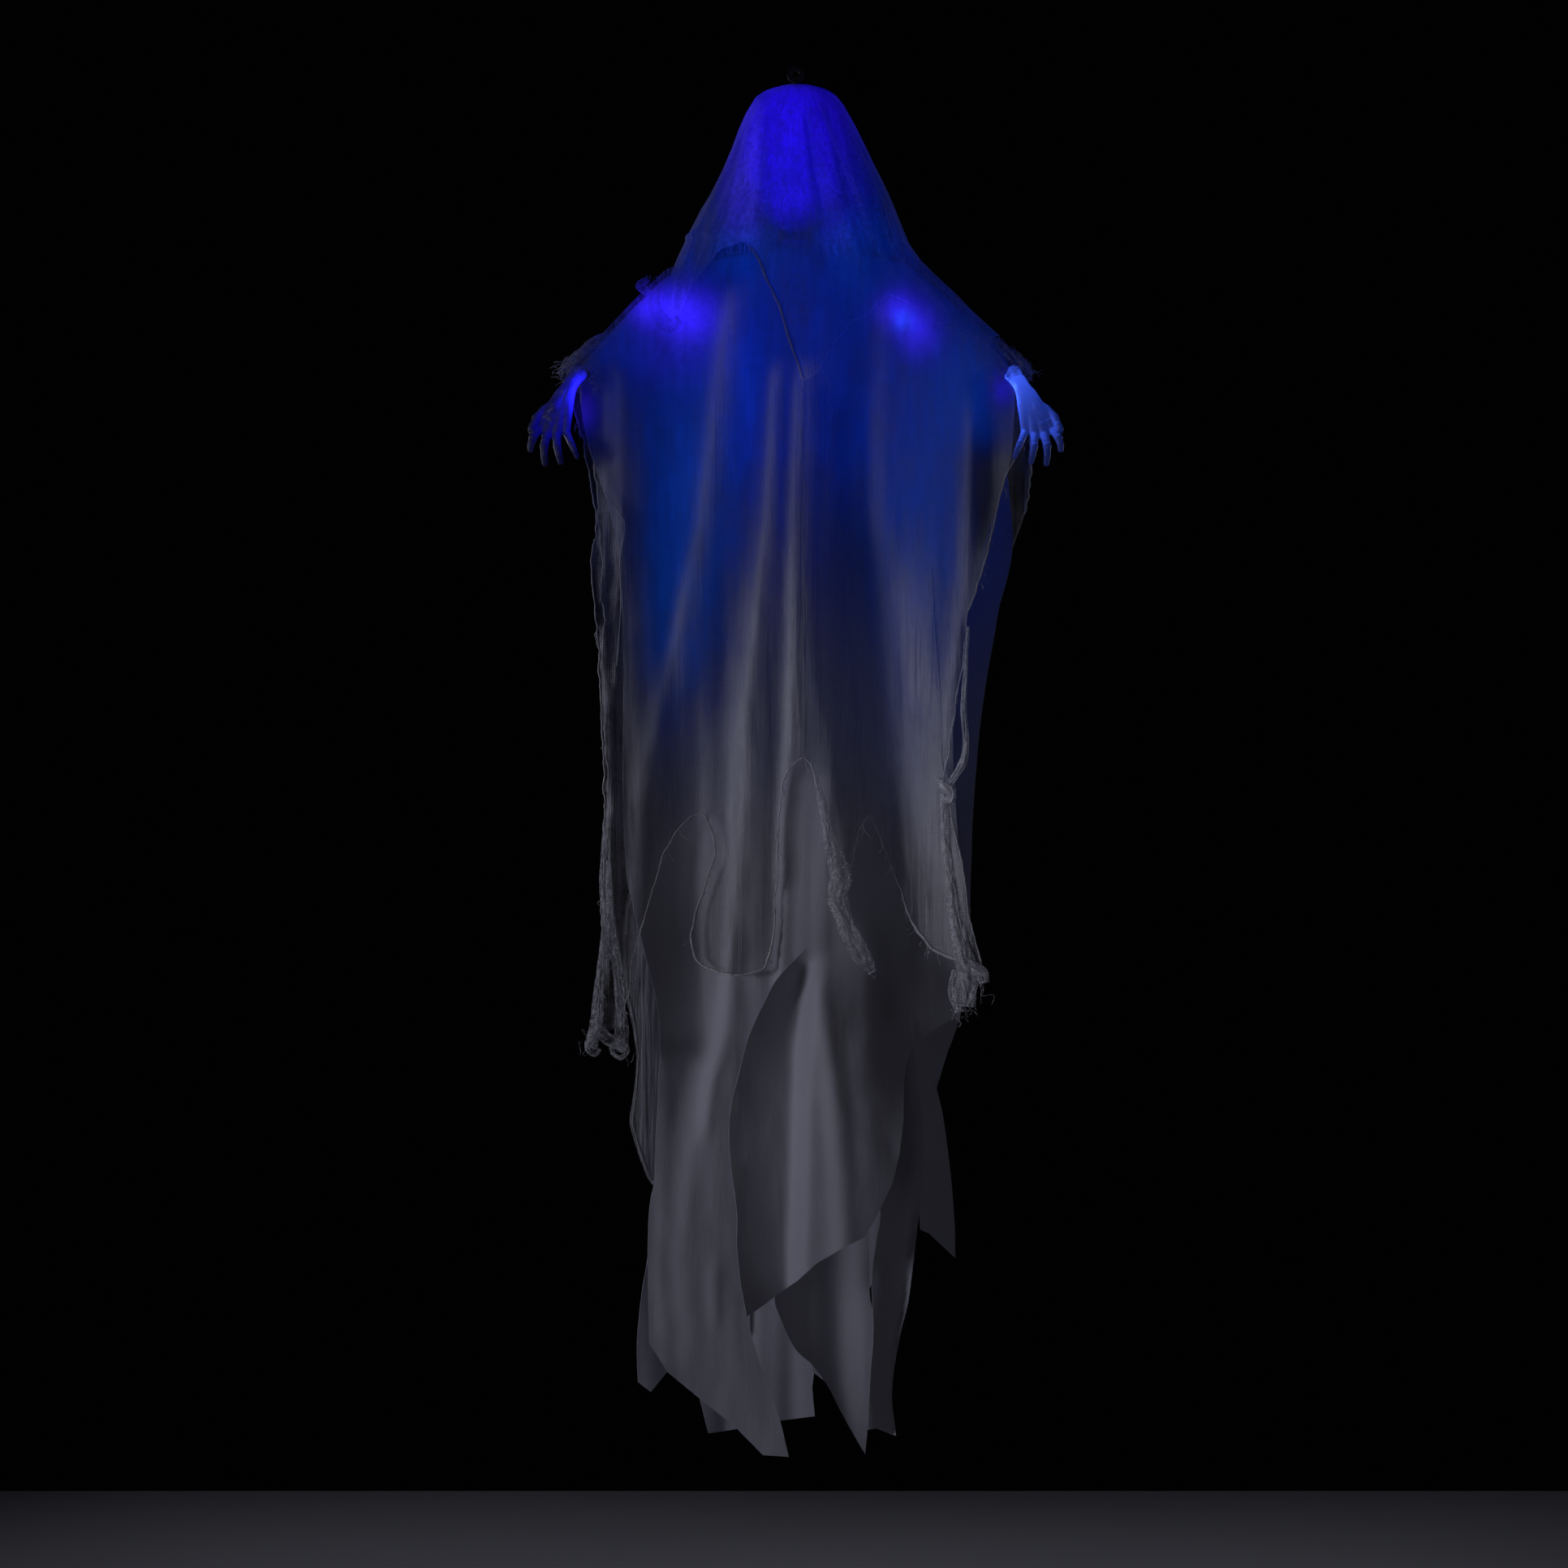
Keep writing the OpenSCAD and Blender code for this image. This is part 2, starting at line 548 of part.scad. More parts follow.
veil_a = [[-420, 150], [-255, 160], [-225, 147], [-181, 128], [-117, 97], [-63, 76], [-36, 56], [-21, 32], [-16.2, 7]];
veil_b = [[-420, 128], [-255, 122], [-225, 116], [-181, 106], [-117, 90], [-63, 76], [-36, 56], [-21, 32], [-16.2, 7]];
function veil_hem(th) = let (f = abs(th > 180 ? th - 360 : th))
  lookup(f, [[0, -408], [22, -350], [45, -262], [130, -252], [155, -300], [180, -330]]);

module veil() color(c_gauze) {
  rows = [0, 0.02, 0.06, 0.12, 0.22, 0.36, 0.52, 0.68, 0.84, 1];
  g = [for (i = rows) [for (j = [0:23])
    let (th = 15 * j, z = -16.2 + (veil_hem(th) + 16.2) * i)
    [lookup(z, veil_a) * sin(th), -lookup(z, veil_b) * cos(th), z]]];
  sheet_solid(g, gauze_t, true);
}

// ---------- nodes ----------

hanger_eye();
hanger_nut();
head_front_shell();
head_rear_shell();
head_screws();
head_lamp_board();
head_leds();
neck_post();
post_cap();
neck_collar();
shoulder_yoke();
yoke_screw();
pivot_bolts();
pivot_nuts();
lamp_housings();
lamp_lenses();
battery_box();
battery_cells();
battery_springs();
battery_contacts();
control_board();
switch_body();
switch_knob();
battery_door();
wiring();
arm_lug_r();  // right_arm_lug
arm_tube_r();  // right_arm_tube
wrist_cuff_r();  // right_wrist_cuff
wrist_lamp_r();  // right_wrist_lamp
wrist_led_r();  // right_wrist_led
arm_wire_r();  // right_arm_wire
color(c_black) service_loop_r();  // right_service_loop
wrist_pin_r();  // right_wrist_pin
hand_r();  // right_hand
sleeve_r();  // right_sleeve
mirror([1, 0, 0]) arm_lug_r();  // left_arm_lug
mirror([1, 0, 0]) arm_tube_r();  // left_arm_tube
mirror([1, 0, 0]) wrist_cuff_r();  // left_wrist_cuff
mirror([1, 0, 0]) wrist_lamp_r();  // left_wrist_lamp
mirror([1, 0, 0]) wrist_led_r();  // left_wrist_led
mirror([1, 0, 0]) arm_wire_r();  // left_arm_wire
color(c_black) mirror([1, 0, 0]) service_loop_r();  // left_service_loop
mirror([1, 0, 0]) wrist_pin_r();  // left_wrist_pin
mirror([1, 0, 0]) hand_r();  // left_hand
mirror([1, 0, 0]) sleeve_r();  // left_sleeve
gown_front_left();
gown_front_right();
gown_front_inner();
gown_right();
gown_right_rear();
gown_left();
gown_rear_left();
gown_rear_middle();
gown_rear_right();
cloak_front_left();
cloak_front_right();
cloak_back_left();
cloak_back_right();
veil();
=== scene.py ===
"""Looks of the hanging light-up ghost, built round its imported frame. Metres, +Z up, the figure faces -Y."""
import math

import bpy
import numpy as np
from mathutils import Matrix, Vector
from mathutils.geometry import delaunay_2d_cdt


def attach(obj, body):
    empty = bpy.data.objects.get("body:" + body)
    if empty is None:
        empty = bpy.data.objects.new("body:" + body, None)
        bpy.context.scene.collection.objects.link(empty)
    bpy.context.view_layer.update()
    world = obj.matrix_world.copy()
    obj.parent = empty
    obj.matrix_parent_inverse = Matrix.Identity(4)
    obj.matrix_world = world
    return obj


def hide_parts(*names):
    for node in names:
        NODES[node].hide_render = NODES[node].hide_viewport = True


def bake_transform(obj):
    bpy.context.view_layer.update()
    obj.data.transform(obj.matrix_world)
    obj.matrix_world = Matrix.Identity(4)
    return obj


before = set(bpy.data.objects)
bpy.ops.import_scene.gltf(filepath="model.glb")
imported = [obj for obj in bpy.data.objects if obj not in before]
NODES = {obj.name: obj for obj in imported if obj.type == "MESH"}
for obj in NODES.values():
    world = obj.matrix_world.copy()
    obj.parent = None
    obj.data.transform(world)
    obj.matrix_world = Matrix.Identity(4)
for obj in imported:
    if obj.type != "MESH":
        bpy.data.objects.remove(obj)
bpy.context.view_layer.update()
SCENE = bpy.context.scene

# ------------------------------------------------------------------ picture frame and camera
K = 0.00108                       # metres per picture pixel in the plane of the shoulders
CAM_D = 6.0                       # camera distance
CX, CZ = (966 - 980) * K, 0.09924 - 966 * K


def unproject(px, py, y):
    """Row-frame X and Z of the picture point at depth y."""
    s = (CAM_D + y) / CAM_D
    return CX + (px - 966) * K * s, CZ - (py - 966) * K * s


cam_data = bpy.data.cameras.new("camera")
cam = bpy.data.objects.new("camera", cam_data)
SCENE.collection.objects.link(cam)
cam.location = (CX, -CAM_D, CZ)
cam.rotation_euler = (math.radians(90), 0, 0)
cam_data.sensor_fit = "AUTO"
cam_data.sensor_width = 36.0
cam_data.lens = 36.0 * CAM_D / (1932 * K)
cam_data.clip_start, cam_data.clip_end = 0.1, 60
SCENE.camera = cam

# ------------------------------------------------------------------ small numeric helpers


def s01(t):
    t = np.clip(t, 0.0, 1.0)
    return t * t * (3 - 2 * t)


def interp(v, table):
    t = sorted(table)
    return np.interp(v, [a for a, _ in t], [b for _, b in t])


def _perm(seed):
    r = np.random.RandomState(seed)
    return r.permutation(256), r.rand(256) * 2 * np.pi


_PERMS = {}


def pnoise(x, y, seed=0):
    """Smooth gradient noise, about -0.7 to 0.7."""
    if seed not in _PERMS:
        _PERMS[seed] = _perm(seed)
    perm, ang = _PERMS[seed]
    x, y = np.asarray(x, float), np.asarray(y, float)
    xi, yi = np.floor(x).astype(int), np.floor(y).astype(int)
    xf, yf = x - xi, y - yi
    u, v = xf * xf * xf * (xf * (xf * 6 - 15) + 10), yf * yf * yf * (yf * (yf * 6 - 15) + 10)

    def g(ix, iy, dx, dy):
        h = perm[(perm[ix & 255] + iy) & 255]
        return np.cos(ang[h]) * dx + np.sin(ang[h]) * dy

    a = g(xi, yi, xf, yf) * (1 - u) + g(xi + 1, yi, xf - 1, yf) * u
    b = g(xi, yi + 1, xf, yf - 1) * (1 - u) + g(xi + 1, yi + 1, xf - 1, yf - 1) * u
    return a * (1 - v) + b * v


def fbm(x, y, seed=0, octaves=3):
    out, amp = 0.0, 1.0
    for i in range(octaves):
        out = out + amp * pnoise(x * 2 ** i, y * 2 ** i, seed + i)
        amp *= 0.5
    return out


def resample(pts, step, closed=False):
    """Points along a polyline, no further apart than step."""
    pts = [tuple(p) for p in pts]
    if closed:
        pts = pts + [pts[0]]
    out = []
    for a, b in zip(pts[:-1], pts[1:]):
        n = max(1, int(math.ceil(math.dist(a, b) / step)))
        for i in range(n):
            out.append(tuple(a[k] + (b[k] - a[k]) * i / n for k in range(len(a))))
    if not closed:
        out.append(pts[-1])
    return np.array(out, float)


def spline(pts, n):
    """A smooth curve through the points (Catmull-Rom), n samples."""
    p = np.array(pts, float)
    p = np.vstack([2 * p[0] - p[1], p, 2 * p[-1] - p[-2]])
    segs = len(p) - 3
    out = []
    for t in np.linspace(0, segs, n):
        i = min(int(t), segs - 1)
        f = t - i
        a, b, c, d = p[i], p[i + 1], p[i + 2], p[i + 3]
        out.append(0.5 * ((2 * b) + (-a + c) * f + (2 * a - 5 * b + 4 * c - d) * f * f + (-a + 3 * b - 3 * c + d) * f ** 3))
    return np.array(out)


# ------------------------------------------------------------------ the space that the cloth hangs in

B_T = [(-1.86, .098), (-1.6, .105), (-1.4, .112), (-1.2, .116), (-1.0, .113), (-.8, .106), (-.64, .099),
       (-.535, .092), (-.40, .083), (-.33, .074), (-.25, .066)]
HANG_T = [(-1.86, .7), (-1.2, .9), (-.64, 1.0), (0, 1.0)]
TOP_L = [(640, 505), (690, 462), (705, 447), (735, 418), (780, 371), (820, 332), (860, 317), (900, 307), (940, 298), (985, 288)]
TOP_R = [(985, 288), (1030, 298), (1070, 306), (1118, 316), (1150, 342), (1190, 380), (1225, 412), (1252, 446), (1268, 466), (1320, 520)]
TOP = TOP_L[:-1] + TOP_R


def centre_y(x, z):
    """Depth of the plane that the arms and what hangs from them lie in."""
    t = np.abs(x) - 0.128
    return -0.845 * 0.5 * (t + np.sqrt(t * t + 0.0009)) * interp(z, HANG_T) + 0.002


def half_depth(x, z):
    e = np.sqrt(np.clip(1 - (np.abs(x) / 0.30) ** 2, 0, 1))
    ds = 0.026
    return ds + (interp(z, B_T) - ds) * e ** 0.9


def top_py(px):
    return np.interp(px, [a for a, _ in TOP], [b for _, b in TOP])


def surf(px, py, side, off, disp, lower=0.0):
    """World points of a cloth over the picture points. side is -1 in front and 1 behind, off the layer's distance
    outside the base shape, disp(px, py) its folds, lower how many pixels below the ridge line it is hung."""
    px, py = np.asarray(px, float), np.asarray(py, float)
    y = np.zeros_like(px)
    fold = disp(px, py) if disp is not None else 0.0
    for _ in range(4):
        x, z = unproject(px, py, y)
        e = np.sqrt(np.clip(1 - (np.abs(x) / 0.30) ** 2, 0, 1))
        drop = np.maximum(0.0, (py - top_py(px) - lower) * K)
        h = 0.045 + 0.075 * e
        f = np.sqrt(np.clip(1 - (1 - np.clip(drop / h, 0, 1)) ** 2, 0, 1))
        y = centre_y(x, z) + side * (half_depth(x, z) + off + fold) * f
        if side < 0:
            y = y + 0.036 * s01((np.abs(x) - 0.222) / 0.035) * s01((py - 448) / 26) * s01((760 - py) / 160)
    x, z = unproject(px, py, y)
    return np.stack([x, y, z], 1)


def ridge(px, py, pts, w, h, wl=None, y0=None, y1=None, soft=60.0):
    """A fold along a line of picture points, w pixels wide and h metres high, fading in at its ends."""
    pts = sorted(pts, key=lambda p: p[1])
    ys, xs = [p[1] for p in pts], [p[0] for p in pts]
    c = np.interp(py, ys, xs)
    a = s01((py - (y0 if y0 is not None else ys[0])) / soft) * s01(((y1 if y1 is not None else ys[-1]) - py) / soft)
    d = px - c
    ww = np.where(d < 0, wl if wl is not None else w, w)
    return h * a * np.exp(-(d / ww) ** 2)


# ------------------------------------------------------------------ light of the lamps on the cloth

VIOLET = np.array([0.040, 0.012, 1.0])
BLUE = np.array([0.002, 0.045, 1.0])
TEAL = np.array([0.004, 0.120, 1.0])
# (picture point, spread in pixels across and down, strength, colour)
GLOW = [((985, 440), (250, 235), 0.190, BLUE), ((800, 374), (27, 24), 0.85, VIOLET), ((850, 388), (33, 29), 0.85, VIOLET),
        ((838, 430), (54, 44), 0.17, VIOLET), ((1108, 384), (24, 23), 0.66, VIOLET), ((1133, 411), (24, 28), 0.46, VIOLET),
        ((1113, 394), (11, 12), 0.36, TEAL), ((760, 425), (40, 40), 0.10, BLUE), ((920, 468), (26, 105), 0.13, BLUE),
        ((850, 620), (58, 150), 0.13, TEAL), ((832, 770), (44, 100), 0.09, TEAL), ((1136, 660), (80, 170), 0.10, TEAL),
        ((1188, 480), (40, 70), 0.08, TEAL), ((915, 312), (42, 32), 0.10, TEAL), ((1052, 312), (40, 50), 0.09, TEAL),
        ((900, 900), (120, 130), 0.010, BLUE), ((1120, 880), (90, 120), 0.020, TEAL),
        ((1236, 480), (13, 18), 0.40, VIOLET), ((716, 504), (17, 26), 0.34, VIOLET)]


def glow_at(co, gain=1.0, behind=0.35):
    """Blue light on points of the row frame, as it falls across the figure from its lamps."""
    s = (CAM_D + co[:, 1]) / CAM_D
    px, py = 966 + (co[:, 0] - CX) / (K * s), 966 - (co[:, 2] - CZ) / (K * s)
    out = np.zeros((len(co), 3))
    for (gx, gy), (sx, sy), a, c in GLOW:
        out += a * np.exp(-((px - gx) / sx) ** 2 - ((py - gy) / sy) ** 2)[:, None] * c
    out *= (1 - (0.22 + 0.20 * s01((py - 520) / 100)) * np.clip(crest(px, py), 0, 1) * s01((py - 330) / 40))[:, None]
    out *= (1 + 0.22 * fbm(px / 26, py / 60, 201) + 0.30 * pnoise(px / 7, py / 70, 205) + 0.22 * pnoise(px / 4, py / 26, 207))[:, None]
    out *= (1 - 0.62 * np.clip(ridge(px, py, [(1050, 560), (1062, 780), (1076, 960), (1086, 1100)], 26, 1.0, wl=46, y0=540, y1=1200, soft=140), 0, 1))[:, None]
    out *= (1 - 0.93 * s01((px - 1172) / 40) * s01((py - 525) / 50))[:, None]
    out *= (1 - 0.50 * s01((812 - px) / 44) * s01((py - 520) / 60))[:, None]
    facing = behind + (1 - behind) * s01((centre_y(co[:, 0], co[:, 2]) + 0.035 - co[:, 1]) / 0.07)
    return out * gain * facing[:, None]


def head_glow(co):
    """The lamp inside the head, seen through the veil: brightest down the middle, cut by the veil's creases."""
    s = (CAM_D + co[:, 1]) / CAM_D
    px, py = 966 + (co[:, 0] - CX) / (K * s), 966 - (co[:, 2] - CZ) / (K * s)
    cx = 972 + 0.02 * (py - 190)
    chin = 292 - 22 * ((px - 976) / 42) ** 2 + 9 * pnoise(px / 13, py / 60, 223)
    wide = 34 + 8 * s01((py - 110) / 60) - 6 * s01((py - 220) / 60)
    mid = np.exp(-np.abs((px - cx) / (wide + 8)) ** 3.2) * s01((py - 94) / 22) * s01((chin - py) / 52) * (1 - 0.20 * s01((py - 150) / 90))
    mid = mid * (1 + 0.30 * fbm(px / 17, py / 26, 221))
    right = s01((px - 1000) / 24) * s01((1096 - px) / 70) * s01((py - 100) / 20) * s01((350 - py) / 130)
    left = s01((px - 872) / 40) * s01((948 - px) / 22) * s01((py - 104) / 30) * s01((340 - py) / 110)
    for line, w, a in (([(992, 135), (998, 190), (1008, 268)], 5.5, 0.40), ([(1014, 128), (1026, 175), (1044, 250)], 5.0, 0.50),
                       ([(944, 150), (938, 220), (930, 290)], 5.0, 0.22), ([(912, 160), (900, 230), (884, 290)], 4.0, 0.30)):
        c = np.interp(py, [q[1] for q in line], [q[0] for q in line])
        on = s01((py - line[0][1] + 15) / 30) * s01((line[-1][1] + 20 - py) / 40)
        k = 1 - a * on * np.exp(-((px - c) / w) ** 2)
        mid, right, left = mid * k, right * k, left * k
    out = mid[:, None] * np.array([0.012, 0.001, 0.62]) + right[:, None] * np.array([0.006, 0.001, 0.24]) + left[:, None] * np.array([0.018, 0.009, 0.30])
    out *= (1 + 0.22 * fbm(px / 9, py / 12, 211) + 0.12 * pnoise(px / 3.5, py / 20, 214))[:, None]
    front = s01((0.03 - co[:, 1]) / 0.06)
    round_back = np.exp(-((px - 982) / 62) ** 2 - ((py - 190) / 90) ** 2)[:, None] * np.array([0.010, 0.001, 0.50])
    return out * front[:, None] + round_back * (1 - front)[:, None]


# ------------------------------------------------------------------ meshes


class Build:
    """Gathers vertices, faces, weave coordinates, density and material numbers of one piece."""

    def __init__(self):
        self.v, self.f, self.uv, self.den, self.mat, self.share = [], [], [], [], [], []
        self.n = 0

    def add(self, v, faces, uv=None, den=1.0, mat=0, share=1.0):
        v = np.asarray(v, float).reshape(-1, 3)
        uv = np.asarray(uv, float).reshape(-1, 2) if uv is not None else v[:, [0, 2]]
        self.v.append(v)
        self.uv.append(uv)
        self.den.append(np.broadcast_to(np.asarray(den, float), (len(v),)).copy())
        self.share.append(np.broadcast_to(np.asarray(share, float), (len(v),)).copy())
        for f in faces:
            self.f.append([int(i) + self.n for i in f])
            self.mat.append(mat)
        self.n += len(v)

    def make(self, name, mats, glow=1.0, behind=0.35, smooth=True, more=None):
        v, uv, den = np.vstack(self.v), np.vstack(self.uv), np.concatenate(self.den)
        me = bpy.data.meshes.new(name)
        me.from_pydata(v.tolist(), [], self.f)
        me.update()
        loops = np.zeros(len(me.loops), int)
        me.loops.foreach_get("vertex_index", loops)
        layer = me.uv_layers.new(name="weave")
        layer.data.foreach_set("uv", uv[loops].astype(np.float32).ravel())
        g = glow_at(v, glow, behind) if glow else np.zeros((len(v), 3))
        if more is not None:
            g = g + more(v)
        g = g * np.concatenate(self.share)[:, None]
        sc = (CAM_D + v[:, 1]) / CAM_D
        px, py = 966 + (v[:, 0] - CX) / (K * sc), 966 - (v[:, 2] - CZ) / (K * sc)
        # How far lit_colour paints the base colour blue with lamp light. It is held back on the fold crests, where the
        # paler cloth colour is a painted highlight.
        painted_lamp_tint_and_crest_highlight = (1 - np.exp(-np.clip(g[:, 2], 0, None) / 0.052)) * (1 - 0.85 * np.clip(crest(px, py), 0, 1) ** 1.2 * s01((py - 300) / 60))
        col = me.attributes.new("glow", "FLOAT_COLOR", "POINT")
        col.data.foreach_set("color", np.hstack([g, painted_lamp_tint_and_crest_highlight[:, None]]).astype(np.float32).ravel())
        d = me.attributes.new("threads", "FLOAT", "POINT")
        d.data.foreach_set("value", den.astype(np.float32))
        for m in mats:
            me.materials.append(m)
        me.polygons.foreach_set("material_index", np.array(self.mat, np.int32))
        if smooth:
            me.polygons.foreach_set("use_smooth", np.ones(len(me.polygons), bool))
        me.update()
        o = bpy.data.objects.new(name, me)
        SCENE.collection.objects.link(o)
        return o


def inside(poly, pts):
    x, y = pts[:, 0], pts[:, 1]
    ok = np.zeros(len(pts), bool)
    for (x0, y0), (x1, y1) in zip(poly, np.roll(poly, -1, axis=0)):
        if y0 == y1:
            continue
        hit = ((y0 > y) != (y1 > y)) & (x < (x1 - x0) * (y - y0) / (y1 - y0) + x0)
        ok ^= hit
    return ok


def cut(poly, step, seed, rag=0.0):
    """A triangulated flat cut of cloth with this outline, in picture pixels: points, triangles, outline count."""
    line = resample(poly, step * 0.75, closed=True)
    if rag:
        n = len(line)
        t = np.roll(line, -1, 0) - np.roll(line, 1, 0)
        t /= np.maximum(np.linalg.norm(t, axis=1), 1e-9)[:, None]
        k = np.arange(n)
        r = rag * (fbm(k * 0.13, k * 0 + seed, seed, 3))
        line = line + np.stack([-t[:, 1], t[:, 0]], 1) * r[:, None]
    lo, hi = line.min(0), line.max(0)
    gx, gy = np.arange(lo[0], hi[0] + step, step), np.arange(lo[1], hi[1] + step, step * 1.15)
    grid = np.array([(x + (step / 2 if j % 2 else 0), y) for j, y in enumerate(gy) for x in gx])
    grid = grid[inside(line, grid)]
    keep = np.ones(len(grid), bool)
    for i in range(0, len(grid), 2000):
        d = np.linalg.norm(grid[i:i + 2000, None, :] - line[None, :, :], axis=2).min(1)
        keep[i:i + 2000] = d > step * 0.55
    grid = grid[keep]
    pts = np.vstack([line, grid])
    n = len(line)
    res = delaunay_2d_cdt([Vector(p) for p in pts], [(i, (i + 1) % n) for i in range(n)], [list(range(n))], 1, 1e-4, False)
    co = np.array([(p[0], p[1]) for p in res[0]])
    tri = np.array([t[:3] for t in res[2]])
    tri = tri[inside(line, co[tri].mean(1))]
    e1, e2 = co[tri[:, 1]] - co[tri[:, 0]], co[tri[:, 2]] - co[tri[:, 0]]
    tri = tri[np.abs(e1[:, 0] * e2[:, 1] - e1[:, 1] * e2[:, 0]) > 0.05]
    used = np.unique(tri)
    back = np.full(len(co), -1)
    back[used] = np.arange(len(used))
    return co[used], [tuple(t) for t in back[tri]], line


def tube(path, radius, sides=6, start=0.0):
    """A closed tube along world points: vertices, faces, weave coordinates."""
    p = np.asarray(path, float)
    n = len(p)
    r = np.broadcast_to(np.asarray(radius, float), (n,))
    t = np.gradient(p, axis=0)
    t /= np.maximum(np.linalg.norm(t, axis=1), 1e-9)[:, None]
    ref = np.array([0, 0, 1.0]) if abs(t[0][2]) < 0.9 else np.array([1.0, 0, 0])
    d = np.cross(t[0], ref)
    d /= np.linalg.norm(d)
    v, uv = [], []
    dist = start
    for i in range(n):
        d = d - (d @ t[i]) * t[i]
        d /= max(np.linalg.norm(d), 1e-9)
        b = np.cross(t[i], d)
        if i:
            dist += np.linalg.norm(p[i] - p[i - 1])
        for k in range(sides):
            a = 2 * math.pi * k / sides
            v.append(p[i] + r[i] * (math.cos(a) * d + math.sin(a) * b))
            uv.append((dist, r[i] * a))
    f = [(i * sides + k, i * sides + (k + 1) % sides, (i + 1) * sides + (k + 1) % sides, (i + 1) * sides + k)
         for i in range(n - 1) for k in range(sides)]
    f += [tuple(range(sides))[::-1], tuple((n - 1) * sides + k for k in range(sides))]
    return np.array(v), f, np.array(uv)


def rope(path, radius, lobes=5, twist=4.0, sides=34, seed=1, n=70, open_end=True, base=0.70, deep=0.26, rough=0.35):
    """Cloth gathered into a bundle along world points: a tube whose wall is folded and twisted."""
    p = spline(path, n)
    r = np.interp(np.linspace(0, 1, n), np.linspace(0, 1, len(radius)), radius)
    t = np.gradient(p, axis=0)
    t /= np.linalg.norm(t, axis=1)[:, None]
    ref = np.array([0, 1.0, 0]) if abs(t[0][1]) < 0.9 else np.array([1.0, 0, 0])
    d = np.cross(t[0], ref)
    d /= np.linalg.norm(d)
    v, uv = [], []
    dist = 0.0
    for i in range(n):
        d = d - (d @ t[i]) * t[i]
        d /= np.linalg.norm(d)
        b = np.cross(t[i], d)
        if i:
            dist += np.linalg.norm(p[i] - p[i - 1])
        for k in range(sides):
            a = 2 * math.pi * k / sides
            q = base + deep * math.cos(lobes * a + twist * i / n * 6.28) + 0.10 * math.cos((lobes * 2 + 1) * a - 3 * twist * i / n)
            q += rough * float(pnoise(1.7 * math.cos(a) + 9, 1.7 * math.sin(a) + i * 0.13, seed))
            v.append(p[i] + r[i] * q * (math.cos(a) * d + math.sin(a) * b))
            uv.append((r[i] * a * 1.4, dist))
    f = [(i * sides + k, i * sides + (k + 1) % sides, (i + 1) * sides + (k + 1) % sides, (i + 1) * sides + k)
         for i in range(n - 1) for k in range(sides)]
    if not open_end:
        f.append(tuple((n - 1) * sides + k for k in range(sides)))
    return np.array(v), f, np.array(uv)


# ------------------------------------------------------------------ materials


def material(name):
    m = bpy.data.materials.new(name)
    m.use_nodes = True
    nt = m.node_tree
    return m, nt, nt.nodes["Principled BSDF"]


def node(nt, kind, **sets):
    n = nt.nodes.new(kind)
    for k, v in sets.items():
        if k.startswith("in_"):
            key = k[3:]
            n.inputs[int(key) if key.isdigit() else key].default_value = v
        else:
            setattr(n, k, v)
    return n


def ramp(nt, stops):
    r = nt.nodes.new("ShaderNodeValToRGB")
    e = r.color_ramp.elements
    while len(e) < len(stops):
        e.new(0.5)
    for x, (pos, col) in zip(e, stops):
        x.position = pos
        x.color = (*col, 1) if len(col) == 3 else col
    return r


def lit_colour(nt, b, colour):
    """The cloth's colour, turned to blue where the lamps behind it shine through."""
    L = nt.links.new
    gl = node(nt, "ShaderNodeAttribute", attribute_name="glow")
    am = node(nt, "ShaderNodeMath", operation="MULTIPLY")
    am.inputs[1].default_value = 0.94
    L(gl.outputs["Alpha"], am.inputs[0])
    mx = node(nt, "ShaderNodeMix", data_type="RGBA")
    ins = {(i.name, i.type): i for i in mx.inputs}
    dim = node(nt, "ShaderNodeVectorMath", operation="SCALE")
    dim.inputs["Scale"].default_value = 0.50
    L(gl.outputs["Color"], dim.inputs[0])
    L(dim.outputs[0], ins[("B", "RGBA")])
    L(am.outputs[0], ins[("Factor", "VALUE")])
    L(colour, ins[("A", "RGBA")])
    out = [o for o in mx.outputs if o.type == "RGBA"][0]
    L(out, b.inputs["Base Color"])


